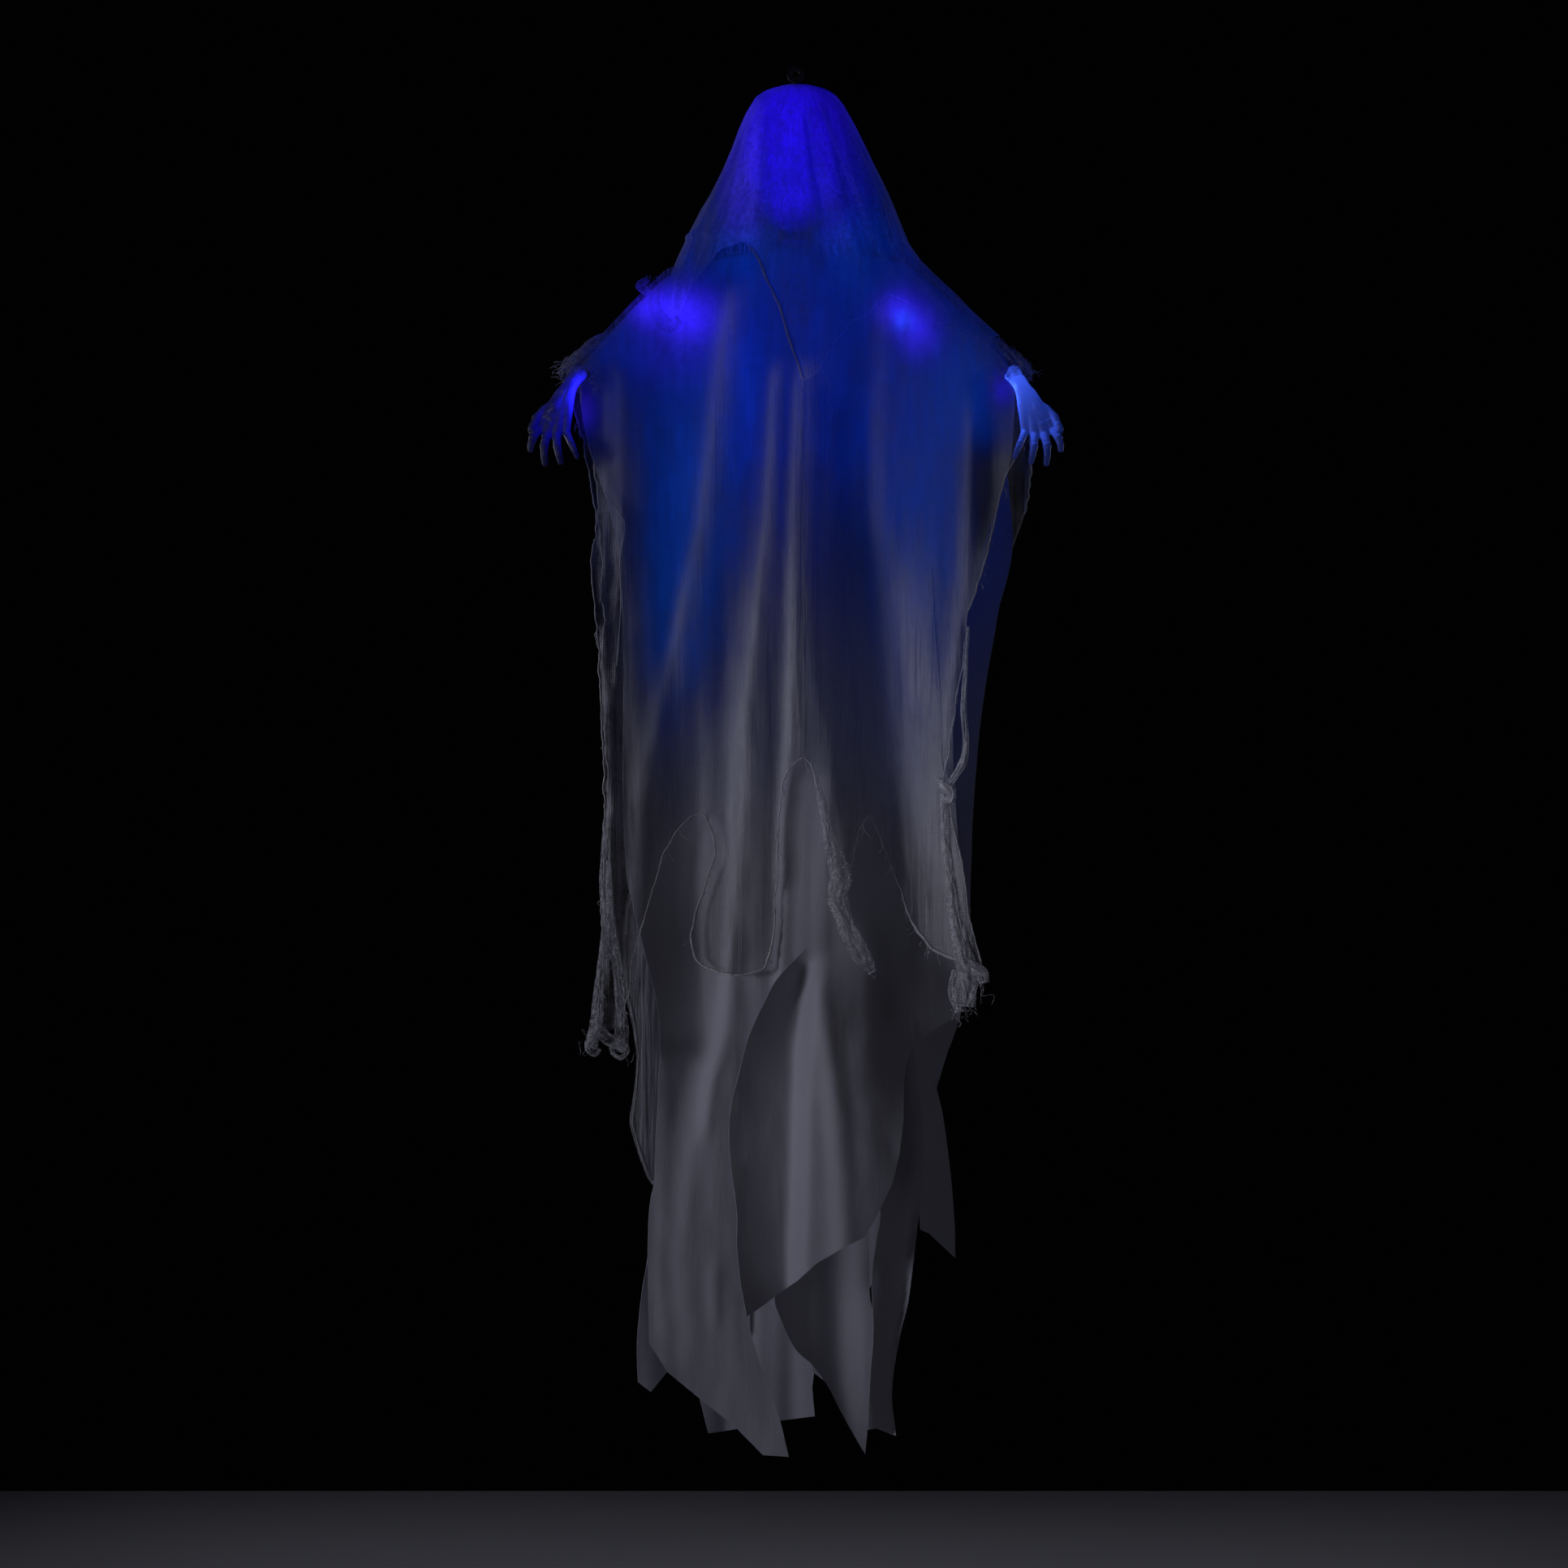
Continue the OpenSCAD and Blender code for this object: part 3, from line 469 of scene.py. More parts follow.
def gauze_material(name, tint, thread_mm, cover_lo, cover_hi, roughness=0.85, patch=9.0):
    """Open leno-like weave: threads both ways with gaps between them, uneven in spacing and density."""
    m, nt, b = material(name)
    L = nt.links.new
    uv = node(nt, "ShaderNodeUVMap", uv_map="weave")
    # Uneven threads: bend the weave's coordinates a little
    wob = node(nt, "ShaderNodeTexNoise", in_Scale=26.0, in_Detail=2.0)
    L(uv.outputs[0], wob.inputs["Vector"])
    sub = node(nt, "ShaderNodeVectorMath", operation="SUBTRACT")
    L(wob.outputs["Color"], sub.inputs[0])
    sub.inputs[1].default_value = (0.5, 0.5, 0.5)
    sc = node(nt, "ShaderNodeVectorMath", operation="SCALE")
    sc.inputs["Scale"].default_value = 0.006
    L(sub.outputs[0], sc.inputs[0])
    add = node(nt, "ShaderNodeVectorMath", operation="ADD")
    L(uv.outputs[0], add.inputs[0])
    L(sc.outputs[0], add.inputs[1])
    sep = node(nt, "ShaderNodeSeparateXYZ")
    L(add.outputs[0], sep.inputs[0])
    waves = []
    for axis in (0, 1):
        mul = node(nt, "ShaderNodeMath", operation="MULTIPLY")
        L(sep.outputs[axis], mul.inputs[0])
        mul.inputs[1].default_value = 2 * math.pi / (thread_mm / 1000)
        sn = node(nt, "ShaderNodeMath", operation="SINE")
        L(mul.outputs[0], sn.inputs[0])
        waves.append(sn)
    mx = node(nt, "ShaderNodeMath", operation="MAXIMUM")
    L(waves[0].outputs[0], mx.inputs[0])
    L(waves[1].outputs[0], mx.inputs[1])
    thr = node(nt, "ShaderNodeMapRange")
    thr.inputs["From Min"].default_value = -0.1
    thr.inputs["From Max"].default_value = 0.75
    L(mx.outputs[0], thr.inputs["Value"])
    # Patches of looser and tighter cloth
    pat = node(nt, "ShaderNodeTexNoise", in_Scale=patch, in_Detail=4.0, in_Roughness=0.6)
    L(uv.outputs[0], pat.inputs["Vector"])
    cov = node(nt, "ShaderNodeMapRange")
    cov.inputs["From Min"].default_value = 0.32
    cov.inputs["From Max"].default_value = 0.70
    cov.inputs["To Min"].default_value = cover_lo
    cov.inputs["To Max"].default_value = cover_hi
    L(pat.outputs[0], cov.inputs["Value"])
    den = node(nt, "ShaderNodeAttribute", attribute_name="threads")
    cd = node(nt, "ShaderNodeMath", operation="MULTIPLY")
    L(cov.outputs[0], cd.inputs[0])
    L(den.outputs["Fac"], cd.inputs[1])
    gap = node(nt, "ShaderNodeMapRange")
    gap.inputs["To Min"].default_value = 0.45
    gap.inputs["To Max"].default_value = 1.25
    L(thr.outputs[0], gap.inputs["Value"])
    # Threads pulled together in long thin runs
    smap = node(nt, "ShaderNodeMapping")
    smap.inputs["Scale"].default_value = (190.0, 9.0, 1.0)
    L(uv.outputs[0], smap.inputs["Vector"])
    run = node(nt, "ShaderNodeTexNoise", in_Scale=1.0, in_Detail=3.0, in_Roughness=0.65, in_Distortion=0.4)
    L(smap.outputs[0], run.inputs["Vector"])
    rm = node(nt, "ShaderNodeMapRange")
    rm.inputs["From Min"].default_value = 0.30
    rm.inputs["From Max"].default_value = 0.72
    rm.inputs["To Min"].default_value = 0.40
    rm.inputs["To Max"].default_value = 1.85
    L(run.outputs[0], rm.inputs["Value"])
    ra = node(nt, "ShaderNodeMath", operation="MULTIPLY")
    L(cd.outputs[0], ra.inputs[0])
    L(rm.outputs[0], ra.inputs[1])
    al = node(nt, "ShaderNodeMath", operation="MULTIPLY", use_clamp=True)
    L(ra.outputs[0], al.inputs[0])
    L(gap.outputs[0], al.inputs[1])
    L(al.outputs[0], b.inputs["Alpha"])
    col = ramp(nt, [(0.25, tuple(c * 0.80 for c in tint)), (0.75, tint)])
    L(pat.outputs[0], col.inputs[0])
    lit_colour(nt, b, col.outputs[0])
    b.inputs["Roughness"].default_value = roughness
    b.inputs["Sheen Weight"].default_value = 0.25
    b.inputs["Sheen Roughness"].default_value = 0.5
    b.inputs["Specular IOR Level"].default_value = 0.2
    bump = node(nt, "ShaderNodeBump")
    bump.inputs["Strength"].default_value = 0.35
    bump.inputs["Distance"].default_value = 0.0006
    L(thr.outputs[0], bump.inputs["Height"])
    sb = node(nt, "ShaderNodeBump")
    sb.inputs["Strength"].default_value = 0.55
    sb.inputs["Distance"].default_value = 0.0042
    L(run.outputs[0], sb.inputs["Height"])
    L(sb.outputs[0], bump.inputs["Normal"])
    L(bump.outputs[0], b.inputs["Normal"])
    gl = node(nt, "ShaderNodeAttribute", attribute_name="glow")
    mott = node(nt, "ShaderNodeMapRange")
    mott.inputs["From Min"].default_value = 0.25
    mott.inputs["From Max"].default_value = 0.75
    mott.inputs["To Min"].default_value = 0.72
    mott.inputs["To Max"].default_value = 1.2
    L(pat.outputs[0], mott.inputs["Value"])
    grain = node(nt, "ShaderNodeTexNoise", in_Scale=170.0, in_Detail=3.0, in_Roughness=0.7)
    L(uv.outputs[0], grain.inputs["Vector"])
    gr = node(nt, "ShaderNodeMapRange")
    gr.inputs["From Min"].default_value = 0.30
    gr.inputs["From Max"].default_value = 0.70
    gr.inputs["To Min"].default_value = 0.62
    gr.inputs["To Max"].default_value = 1.30
    L(grain.outputs[0], gr.inputs["Value"])
    em = node(nt, "ShaderNodeMath", operation="MULTIPLY")
    L(mott.outputs[0], em.inputs[0])
    L(gr.outputs[0], em.inputs[1])
    L(gl.outputs["Color"], b.inputs["Emission Color"])
    L(em.outputs[0], b.inputs["Emission Strength"])
    return m


def gown_material(name, tint, dark):
    """Closely woven light cloth with a faint satin sheen, creases and a little soiling."""
    m, nt, b = material(name)
    L = nt.links.new
    uv = node(nt, "ShaderNodeUVMap", uv_map="weave")
    cloud = node(nt, "ShaderNodeTexNoise", in_Scale=5.0, in_Detail=5.0, in_Roughness=0.55)
    L(uv.outputs[0], cloud.inputs["Vector"])
    col = ramp(nt, [(0.28, dark), (0.72, tint)])
    L(cloud.outputs[0], col.inputs[0])
    lit_colour(nt, b, col.outputs[0])
    rr = node(nt, "ShaderNodeMapRange")
    rr.inputs["To Min"].default_value = 0.52
    rr.inputs["To Max"].default_value = 0.72
    L(cloud.outputs[0], rr.inputs["Value"])
    L(rr.outputs[0], b.inputs["Roughness"])
    b.inputs["Sheen Weight"].default_value = 0.35
    b.inputs["Sheen Roughness"].default_value = 0.45
    b.inputs["Specular IOR Level"].default_value = 0.25
    sep = node(nt, "ShaderNodeSeparateXYZ")
    L(uv.outputs[0], sep.inputs[0])
    hs = []
    for axis, pitch in ((0, 0.0012), (1, 0.0012)):
        mul = node(nt, "ShaderNodeMath", operation="MULTIPLY")
        L(sep.outputs[axis], mul.inputs[0])
        mul.inputs[1].default_value = 2 * math.pi / pitch
        sn = node(nt, "ShaderNodeMath", operation="SINE")
        L(mul.outputs[0], sn.inputs[0])
        hs.append(sn)
    weave = node(nt, "ShaderNodeMath", operation="MULTIPLY")
    L(hs[0].outputs[0], weave.inputs[0])
    L(hs[1].outputs[0], weave.inputs[1])
    mp = node(nt, "ShaderNodeMapping")
    mp.inputs["Scale"].default_value = (34.0, 6.0, 1.0)
    L(uv.outputs[0], mp.inputs["Vector"])
    crease = node(nt, "ShaderNodeTexNoise", in_Scale=1.0, in_Detail=4.0, in_Roughness=0.6, in_Distortion=0.6)
    L(mp.outputs[0], crease.inputs["Vector"])
    b1 = node(nt, "ShaderNodeBump")
    b1.inputs["Strength"].default_value = 0.25
    b1.inputs["Distance"].default_value = 0.004
    L(crease.outputs[0], b1.inputs["Height"])
    b2 = node(nt, "ShaderNodeBump")
    b2.inputs["Strength"].default_value = 0.12
    b2.inputs["Distance"].default_value = 0.0003
    L(weave.outputs[0], b2.inputs["Height"])
    L(b1.outputs[0], b2.inputs["Normal"])
    L(b2.outputs[0], b.inputs["Normal"])
    gl = node(nt, "ShaderNodeAttribute", attribute_name="glow")
    L(gl.outputs["Color"], b.inputs["Emission Color"])
    b.inputs["Emission Strength"].default_value = 1.0
    return m


def solid_material(name, a, c, rough=(0.4, 0.6), scale=60.0, bump=0.15, metallic=0.0, emission=None, estrength=0.0,
                   coat=0.0, detail=4.0, dist=0.0004, alpha=None, subsurface=None):
    m, nt, b = material(name)
    L = nt.links.new
    co = node(nt, "ShaderNodeTexCoord")
    n1 = node(nt, "ShaderNodeTexNoise", in_Scale=scale, in_Detail=detail, in_Roughness=0.6)
    L(co.outputs["Object"], n1.inputs["Vector"])
    col = ramp(nt, [(0.30, a), (0.70, c)])
    L(n1.outputs[0], col.inputs[0])
    L(col.outputs[0], b.inputs["Base Color"])
    rr = node(nt, "ShaderNodeMapRange")
    rr.inputs["To Min"].default_value = rough[0]
    rr.inputs["To Max"].default_value = rough[1]
    L(n1.outputs[0], rr.inputs["Value"])
    L(rr.outputs[0], b.inputs["Roughness"])
    b.inputs["Metallic"].default_value = metallic
    if coat:
        b.inputs["Coat Weight"].default_value = coat
    fine = node(nt, "ShaderNodeTexNoise", in_Scale=scale * 14, in_Detail=3.0)
    L(co.outputs["Object"], fine.inputs["Vector"])
    bp = node(nt, "ShaderNodeBump")
    bp.inputs["Strength"].default_value = bump
    bp.inputs["Distance"].default_value = dist
    L(fine.outputs[0], bp.inputs["Height"])
    L(bp.outputs[0], b.inputs["Normal"])
    if emission:
        er = ramp(nt, [(0.25, tuple(x * 0.7 for x in emission)), (0.75, emission)])
        L(n1.outputs[0], er.inputs[0])
        L(er.outputs[0], b.inputs["Emission Color"])
        b.inputs["Emission Strength"].default_value = estrength
    if alpha is not None:
        b.inputs["Alpha"].default_value = alpha
    if subsurface:
        b.inputs["Subsurface Weight"].default_value = subsurface
        b.inputs["Subsurface Radius"].default_value = (0.004, 0.004, 0.008)
        b.inputs["Subsurface Scale"].default_value = 1.0
    return m


GAUZE = gauze_material("gauze", (0.45, 0.45, 0.47), 2.8, 0.24, 0.50)
VEIL = gauze_material("veil_gauze", (0.62, 0.62, 0.70), 2.2, 0.60, 0.84)
HEM = gauze_material("gauze_rolled", (0.74, 0.73, 0.74), 1.7, 0.80, 1.0)
BUNCH = gauze_material("gauze_bunched", (0.70, 0.70, 0.73), 2.8, 0.02, 0.62, patch=110.0)
GATHER = gauze_material("gauze_gathered", (0.82, 0.82, 0.85), 2.8, 0.20, 0.80, patch=110.0)
GOWN = gown_material("gown_cloth", (0.52, 0.52, 0.56), (0.43, 0.43, 0.48))
SHEER = gauze_material("gown_sheer", (0.60, 0.60, 0.64), 1.5, 0.66, 0.86)
THREAD = solid_material("thread", (0.62, 0.62, 0.64), (0.74, 0.74, 0.76), (0.75, 0.9), 300, 0.2)
# The head shell is painted blue and given emission: painted light of the LEDs inside it.
SHELL_PAINTED_GLOW = solid_material("head_shell", (0.05, 0.04, 0.34), (0.09, 0.07, 0.46), (0.45, 0.6), 30, 0.12,
                       emission=(0.020, 0.002, 1.0), estrength=0.45)
BLACK = solid_material("black_plastic", (0.020, 0.020, 0.022), (0.034, 0.034, 0.037), (0.42, 0.58), 70, 0.22)
WHITEP = solid_material("white_plastic", (0.66, 0.66, 0.66), (0.74, 0.74, 0.73), (0.30, 0.45), 50, 0.10)
STEEL = solid_material("zinc_steel", (0.52, 0.53, 0.54), (0.66, 0.67, 0.68), (0.28, 0.45), 120, 0.10, metallic=1.0)
LENS = solid_material("lamp_lens", (0.06, 0.08, 0.75), (0.10, 0.14, 0.95), (0.08, 0.16), 40, 0.05,
                      emission=(0.05, 0.06, 1.0), estrength=9.0, coat=0.6)
IRON = solid_material("black_wire", (0.012, 0.012, 0.013), (0.022, 0.022, 0.024), (0.45, 0.6), 150, 0.2)
BOARD = solid_material("circuit_board", (0.02, 0.10, 0.04), (0.03, 0.16, 0.06), (0.3, 0.45), 160, 0.15)
CELL = solid_material("cell_jacket", (0.05, 0.055, 0.065), (0.09, 0.095, 0.11), (0.2, 0.32), 30, 0.05)
WIRE = solid_material("wire_jacket", (0.014, 0.014, 0.015), (0.028, 0.028, 0.03), (0.5, 0.7), 200, 0.2)

for slots, mat in (
    (["head_front_shell", "head_rear_shell"], SHELL_PAINTED_GLOW),
    (["neck_collar", "shoulder_yoke", "lamp_housings", "battery_box", "battery_door", "switch_body", "post_cap", "left_arm_lug",
      "right_arm_lug", "left_wrist_cuff", "right_wrist_cuff", "left_wrist_lamp", "right_wrist_lamp"], BLACK),
    (["neck_post", "left_arm_tube", "right_arm_tube", "left_wrist_pin", "right_wrist_pin", "switch_knob"], WHITEP),
    (["hanger_eye", "hanger_nut"], IRON),
    (["head_screws", "yoke_screw", "pivot_bolts", "pivot_nuts", "battery_springs",
      "battery_contacts"], STEEL),
    (["head_leds", "lamp_lenses", "left_wrist_led", "right_wrist_led"], LENS),
    (["head_lamp_board", "control_board"], BOARD),
    (["battery_cells"], CELL),
    (["wiring", "left_arm_wire", "right_arm_wire"], WIRE),
):
    for n in slots:
        me = NODES[n].data
        me.materials.clear()
        me.materials.append(mat)

# ------------------------------------------------------------------ folds


R1 = [(906, 330), (894, 413), (882, 530), (868, 647), (850, 730), (832, 810), (812, 900), (795, 1000), (780, 1100)]
R2 = [(956, 440), (952, 520), (945, 647), (928, 800), (917, 900), (914, 979), (911, 1064), (905, 1141), (900, 1200), (895, 1270), (874, 1351),
      (859, 1442), (850, 1520), (852, 1640), (856, 1740)]
R3 = [(990, 440), (986, 474), (980, 647), (978, 787), (975, 900), (972, 960), (969, 1000), (966, 1064), (967, 1121), (963, 1180)]
R4 = [(1088, 350), (1083, 507), (1080, 640), (1084, 800), (1092, 930), (1106, 1080), (1118, 1240)]
R5 = [(1196, 480), (1193, 600), (1186, 740), (1172, 860), (1163, 960)]


def main_folds(px, py):
    """The long folds that the gown and the gauze over it share: height, and how much each point is on a crest."""
    q = ridge(px, py, R1, 52, .014, wl=15, y0=325, y1=1060, soft=110) * (1 - 0.50 * s01((py - 760) / 240))
    low = s01((py - 1180) / 260)
    q = q + ridge(px, py, R2, 42, .015, wl=9, y0=430, y1=1800, soft=70) * (1 - low) + ridge(px, py, R2, 66, .017, wl=24, y0=1000, y1=1800, soft=200) * low
    q = q + ridge(px, py, R3, 66, .015, wl=8, y0=430, y1=1270, soft=70)
    q = q + ridge(px, py, R4, 18, .003, wl=16, y0=345, y1=700, soft=110)
    q = q + ridge(px, py, R5, 11, .012, wl=11, y0=470, y1=1010, soft=80)
    q = q - ridge(px, py, [(930, 560), (905, 760), (884, 900)], 12, .003, y0=520, y1=960, soft=90)
    q = q - 0.012 * (1 - s01((px - 800) / 110)) * s01((py - 780) / 120) * s01((1220 - py) / 150)
    # The deep hollow beside the middle fold: it falls away slowly from the fold, and rises again in a broad wall on its right
    start = np.interp(py, [440, 700, 800, 860, 920, 980, 1040, 1100, 1160], [1000, 990, 994, 1003, 1018, 1026, 1035, 1040, 1052])
    mid = np.interp(py, [440, 560, 680, 740, 800, 860, 920, 980, 1040, 1100, 1160], [1062, 1066, 1074, 1084, 1088, 1094, 1099, 1104, 1107, 1112, 1120])
    deep = (0.024 + 0.030 * s01((py - 560) / 160)) * s01((py - 420) / 120) * s01((1250 - py) / 130)
    q = q - deep * np.clip((px - start) / (mid - start), 0, 1) ** 1.4 * (1 - s01((px - mid) / 82))
    return q


def crest(px, py):
    c = ridge(px, py, R1, 17, 1.0, wl=13, y0=325, y1=900, soft=60) + ridge(px, py, R2, 11, 1.0, wl=7, y0=430, y1=1200, soft=40)
    return c + ridge(px, py, R3, 22, 1.0, wl=9, y0=430, y1=1100, soft=40) + 0.4 * ridge(px, py, R4, 13, 1.0, wl=11, y0=345, y1=1000, soft=60) \
        + 0.7 * ridge(px, py, R5, 9, 1.0, wl=9, y0=470, y1=1010, soft=60) \
        + 0.6 * ridge(px, py, [(1112, 640), (1115, 740), (1124, 800), (1144, 870), (1156, 930), (1160, 1000)], 32, 1.0, wl=20, y0=620, y1=1090, soft=130)


def gown_folds(px, py):
    """Folds of the gown's front, in metres outward."""
    a = s01((py - 380) / 260)
    warp = 22 * pnoise(px / 160, py / 420, 3)
    calm = 1 - 0.6 * s01((py - 1180) / 160)
    q = calm * (0.009 * a * pnoise((px + warp) / 46, py / 620, 5) + 0.0035 * a * pnoise((px + warp) / 21, py / 380, 8))
    q = q + 0.0016 * s01((py - 1150) / 150) * fbm(px / 24, py / 60, 28)
    q = q + main_folds(px, py)
    q = q + ridge(px, py, [(884, 1290), (876, 1340), (870, 1400)], 8, .005, wl=6, y0=1280, y1=1420, soft=40)
    q = q + ridge(px, py, [(884, 1545), (878, 1590), (882, 1650)], 9, .003, wl=6, y0=1535, y1=1665, soft=40)
    q = q + ridge(px, py, [(905, 1620), (920, 1700), (940, 1780)], 16, .002, wl=12, y0=1600, y1=1820, soft=60)
    q = q + ridge(px, py, [(1116, 640), (1122, 740), (1130, 800), (1150, 870), (1164, 930), (1170, 1000), (1174, 1100)], 24, .012, wl=16, y0=600, y1=1120, soft=120)
    q = q + ridge(px, py, [(815, 1250), (818, 1400), (812, 1560), (822, 1690)], 12, .003, wl=7, y0=1230, y1=1760, soft=80)
    return np.clip(q, -0.060, 0.032)


def cloak_folds(px, py):
    """Folds of the gauze's front: they fall from the shoulders and the chest and open towards the hem."""
    a = s01((py - 340) / 240)
    warp = 16 * pnoise(px / 120, py / 380, 13)
    q = gown_folds(px, py) + 0.004 * a * (0.5 + pnoise((px + warp) / 30, py / 520, 15)) + 0.0022 * a * pnoise((px + warp) / 12, py / 300, 18)
    q = q + ridge(px, py, [(1106, 560), (1104, 760), (1098, 950)], 8, .006, y0=540, y1=1000, soft=90)
    q = q + ridge(px, py, [(1160, 560), (1150, 760), (1150, 900), (1160, 970)], 10, .008, y0=540, y1=1010, soft=90)
    q = q + ridge(px, py, [(766, 600), (764, 763), (757, 900), (752, 1100), (748, 1230)], 7, .010, y0=590, y1=1260, soft=70)
    q = q + ridge(px, py, [(745, 560), (744, 760), (747, 900)], 6, .008, y0=560, y1=1000, soft=60)
    q = q + ridge(px, py, [(735, 560), (752, 600), (770, 640), (768, 700)], 7, .009, y0=555, y1=720, soft=30)
    strip = s01((788 - px) / 14) * s01((py - 600) / 80)
    q = q + strip * (0.007 * pnoise((px + 0.16 * py) / 13, py / 62, 235) + 0.005 * pnoise((px - 0.1 * py) / 8, py / 30, 236))
    return np.clip(q, -0.056, 0.044)


def back_folds(seed, amp):
    def f(px, py):
        a = s01((py - 360) / 260)
        warp = 20 * pnoise(px / 140, py / 400, seed)
        q = amp * a * (2.0 * pnoise((px + warp) / 40, py / 620, seed + 1) + 0.7 * pnoise((px + warp) / 17, py / 380, seed + 2))
        q = np.where(q > 0, q, 0.6 * q)
        return np.clip(q + amp * 0.3, -0.012, 0.034)
    return f


def small_dents(px, py, seed, amp):
    return amp * (pnoise(px / 9, py / 30, seed) + 0.6 * pnoise(px / 5, py / 14, seed + 1))


# ------------------------------------------------------------------ cloth pieces

PIECES = {}


def area_of(o):
    me = o.data
    n = len(me.polygons)
    a = np.zeros(n)
    me.polygons.foreach_get("area", a)
    return float(a.sum())


def declare(o, flat):
    """Works out the flat cut and keeps it in PIECES: the mesh's own surface, halved where the piece is a rolled bundle
    closed on itself.
    """
    me = o.data
    count = {}
    for p in me.polygons:
        for k in p.edge_keys:
            count[k] = count.get(k, 0) + 1
    edge = sum((me.vertices[k[0]].co - me.vertices[k[1]].co).length for k, c in count.items() if c == 1)
    a = area_of(o)
    w, l = flat
    for _ in range(2):
        k = math.sqrt(max(1.0, 1.03 * a / (w * l)))
        w, l = round(w * k, 3), round(l * k, 3)
        if edge < 0.25 * 2 * (w + l) and not o.modifiers:
            a = area_of(o) / 2
    a = min(max(a, 0.31 * w * l), 0.99 * w * l)
    PIECES[o.name] = (w, l, round(a, 4))


def finish_cloth(o, nodes, arm, flat):
    """Hangs a piece without an arm on the frame and bakes an arm piece's place into its mesh, hides the part it
    replaces and works out its flat cut.
    """
    if arm is None:
        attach(o, "frame")
    else:
        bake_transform(o)
    if nodes:
        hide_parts(*nodes)
    declare(o, flat)
    return o


def hem_line(b, pts, fn, r, seed, mat=1, step=5.0, lift=0.0012):
    """A rolled edge along picture points, laid on the cloth fn."""
    line = resample(pts, step)
    k = np.arange(len(line))
    co = fn(line[:, 0], line[:, 1])
    co[:, 1] -= lift
    r = r(line[:, 0], line[:, 1]) if callable(r) else r
    rr = r * (1.0 + 0.55 * pnoise(k * 0.23, k * 0. + 3, seed + 1))
    v, f, uv = tube(co, rr, 7)
    b.add(v, f, uv, 1.0, mat)


def frays(b, pts, fn, count, length, seed, mat=1, spread=0.004, r=0.00042):
    """Loose threads that hang from an edge."""
    rng = np.random.RandomState(seed)
    line = resample(pts, 3.0)
    for i in rng.choice(len(line), size=min(count, len(line)), replace=False):
        p = fn(np.array([line[i, 0]]), np.array([line[i, 1]]))[0]
        n = 7
        ln = length * (0.4 + rng.rand())
        t = np.linspace(0, 1, n)
        ph, am = rng.rand() * 6.28, spread * (0.5 + rng.rand())
        dx = (rng.rand() - 0.5) * ln * 0.8
        path = np.stack([p[0] + dx * t + am * np.sin(ph + 5 * t) * t, p[1] - 0.002 * t + am * np.cos(ph + 4 * t) * t * 0.6,
                         p[2] - ln * t], 1)
        v, f, uv = tube(path, r, 4)
        b.add(v, f, uv, 1.0, mat)


def ragged(pts, amp, seed):
    """A torn edge: the smooth line through the points, wandering by about amp pixels."""
    rough = np.array(pts, float)
    n = max(40, int(np.linalg.norm(np.diff(rough, axis=0), axis=1).sum() / 4))
    p = spline(pts, n)
    t = np.gradient(p, axis=0)
    t /= np.maximum(np.linalg.norm(t, axis=1), 1e-9)[:, None]
    k = np.concatenate([[0], np.cumsum(np.linalg.norm(np.diff(p, axis=0), axis=1))])
    z = np.zeros(n)
    r = amp * (pnoise(k / 31, z + 0.5, seed) + 0.7 * pnoise(k / 11, z + 0.5, seed + 1)) * s01(k / 20) * s01((k[-1] - k) / 20)
    return [tuple(q) for q in p + np.stack([-t[:, 1], t[:, 0]], 1) * r[:, None]]


def smooth_outline(segments):
    """Joins runs of picture points; a run given as ('s', points, n) is made a smooth curve."""
    out = []
    for s in segments:
        if s[0] == "s":
            out += [tuple(p) for p in spline(s[1], s[2])]
        else:
            out += [tuple(p) for p in s[1]]
    clean = [out[0]]
    for p in out[1:]:
        if math.dist(p, clean[-1]) > 0.6:
            clean.append(p)
    if math.dist(clean[0], clean[-1]) < 0.6:
        clean.pop()
    return clean


def top_run(x0, x1, lower, n=40):
    xs = np.linspace(x0, x1, n)
    return [(x, float(top_py(x)) + lower) for x in xs]


def rim_edges(o):
    """Marks the cut edge sharp, so that the cloth's face keeps its own shading up to the edge."""
    me = o.data
    count = np.zeros(len(me.edges), int)
    for q in me.polygons:
        for li in q.loop_indices:
            count[me.loops[li].edge_index] += 1
    at_ = me.attributes.new("sharp_edge", "BOOLEAN", "EDGE")
    at_.data.foreach_set("value", count == 1)


def cloth(name, poly, fn, step, seed, mats, rag, den=None, glow=1.0, behind=0.35, extra=None, thick=0.0):
    co, tris, line = cut(poly, step, seed, rag)
    v = fn(co[:, 0], co[:, 1])
    d = den(co[:, 0], co[:, 1]) if den else 1.0
    # Front faces look at the camera
    tri = [t for t in tris]
    a, c2, c3 = co[[t[0] for t in tri]], co[[t[1] for t in tri]], co[[t[2] for t in tri]]
    area = (c2[:, 0] - a[:, 0]) * (c3[:, 1] - a[:, 1]) - (c2[:, 1] - a[:, 1]) * (c3[:, 0] - a[:, 0])
    tri = [t if s < 0 else (t[0], t[2], t[1]) for t, s in zip(tri, area)]
    b = Build()
    b.add(v, tri, co * K, d, 0)
    if extra:
        extra(b)
    o = b.make(name, mats, glow, behind)
    if thick:
        rim_edges(o)
        md = o.modifiers.new("thickness", "SOLIDIFY")
        md.thickness = thick
        md.offset = 0.0
    return o


# Gown -----------------------------------------------------------------------------------------------------------------

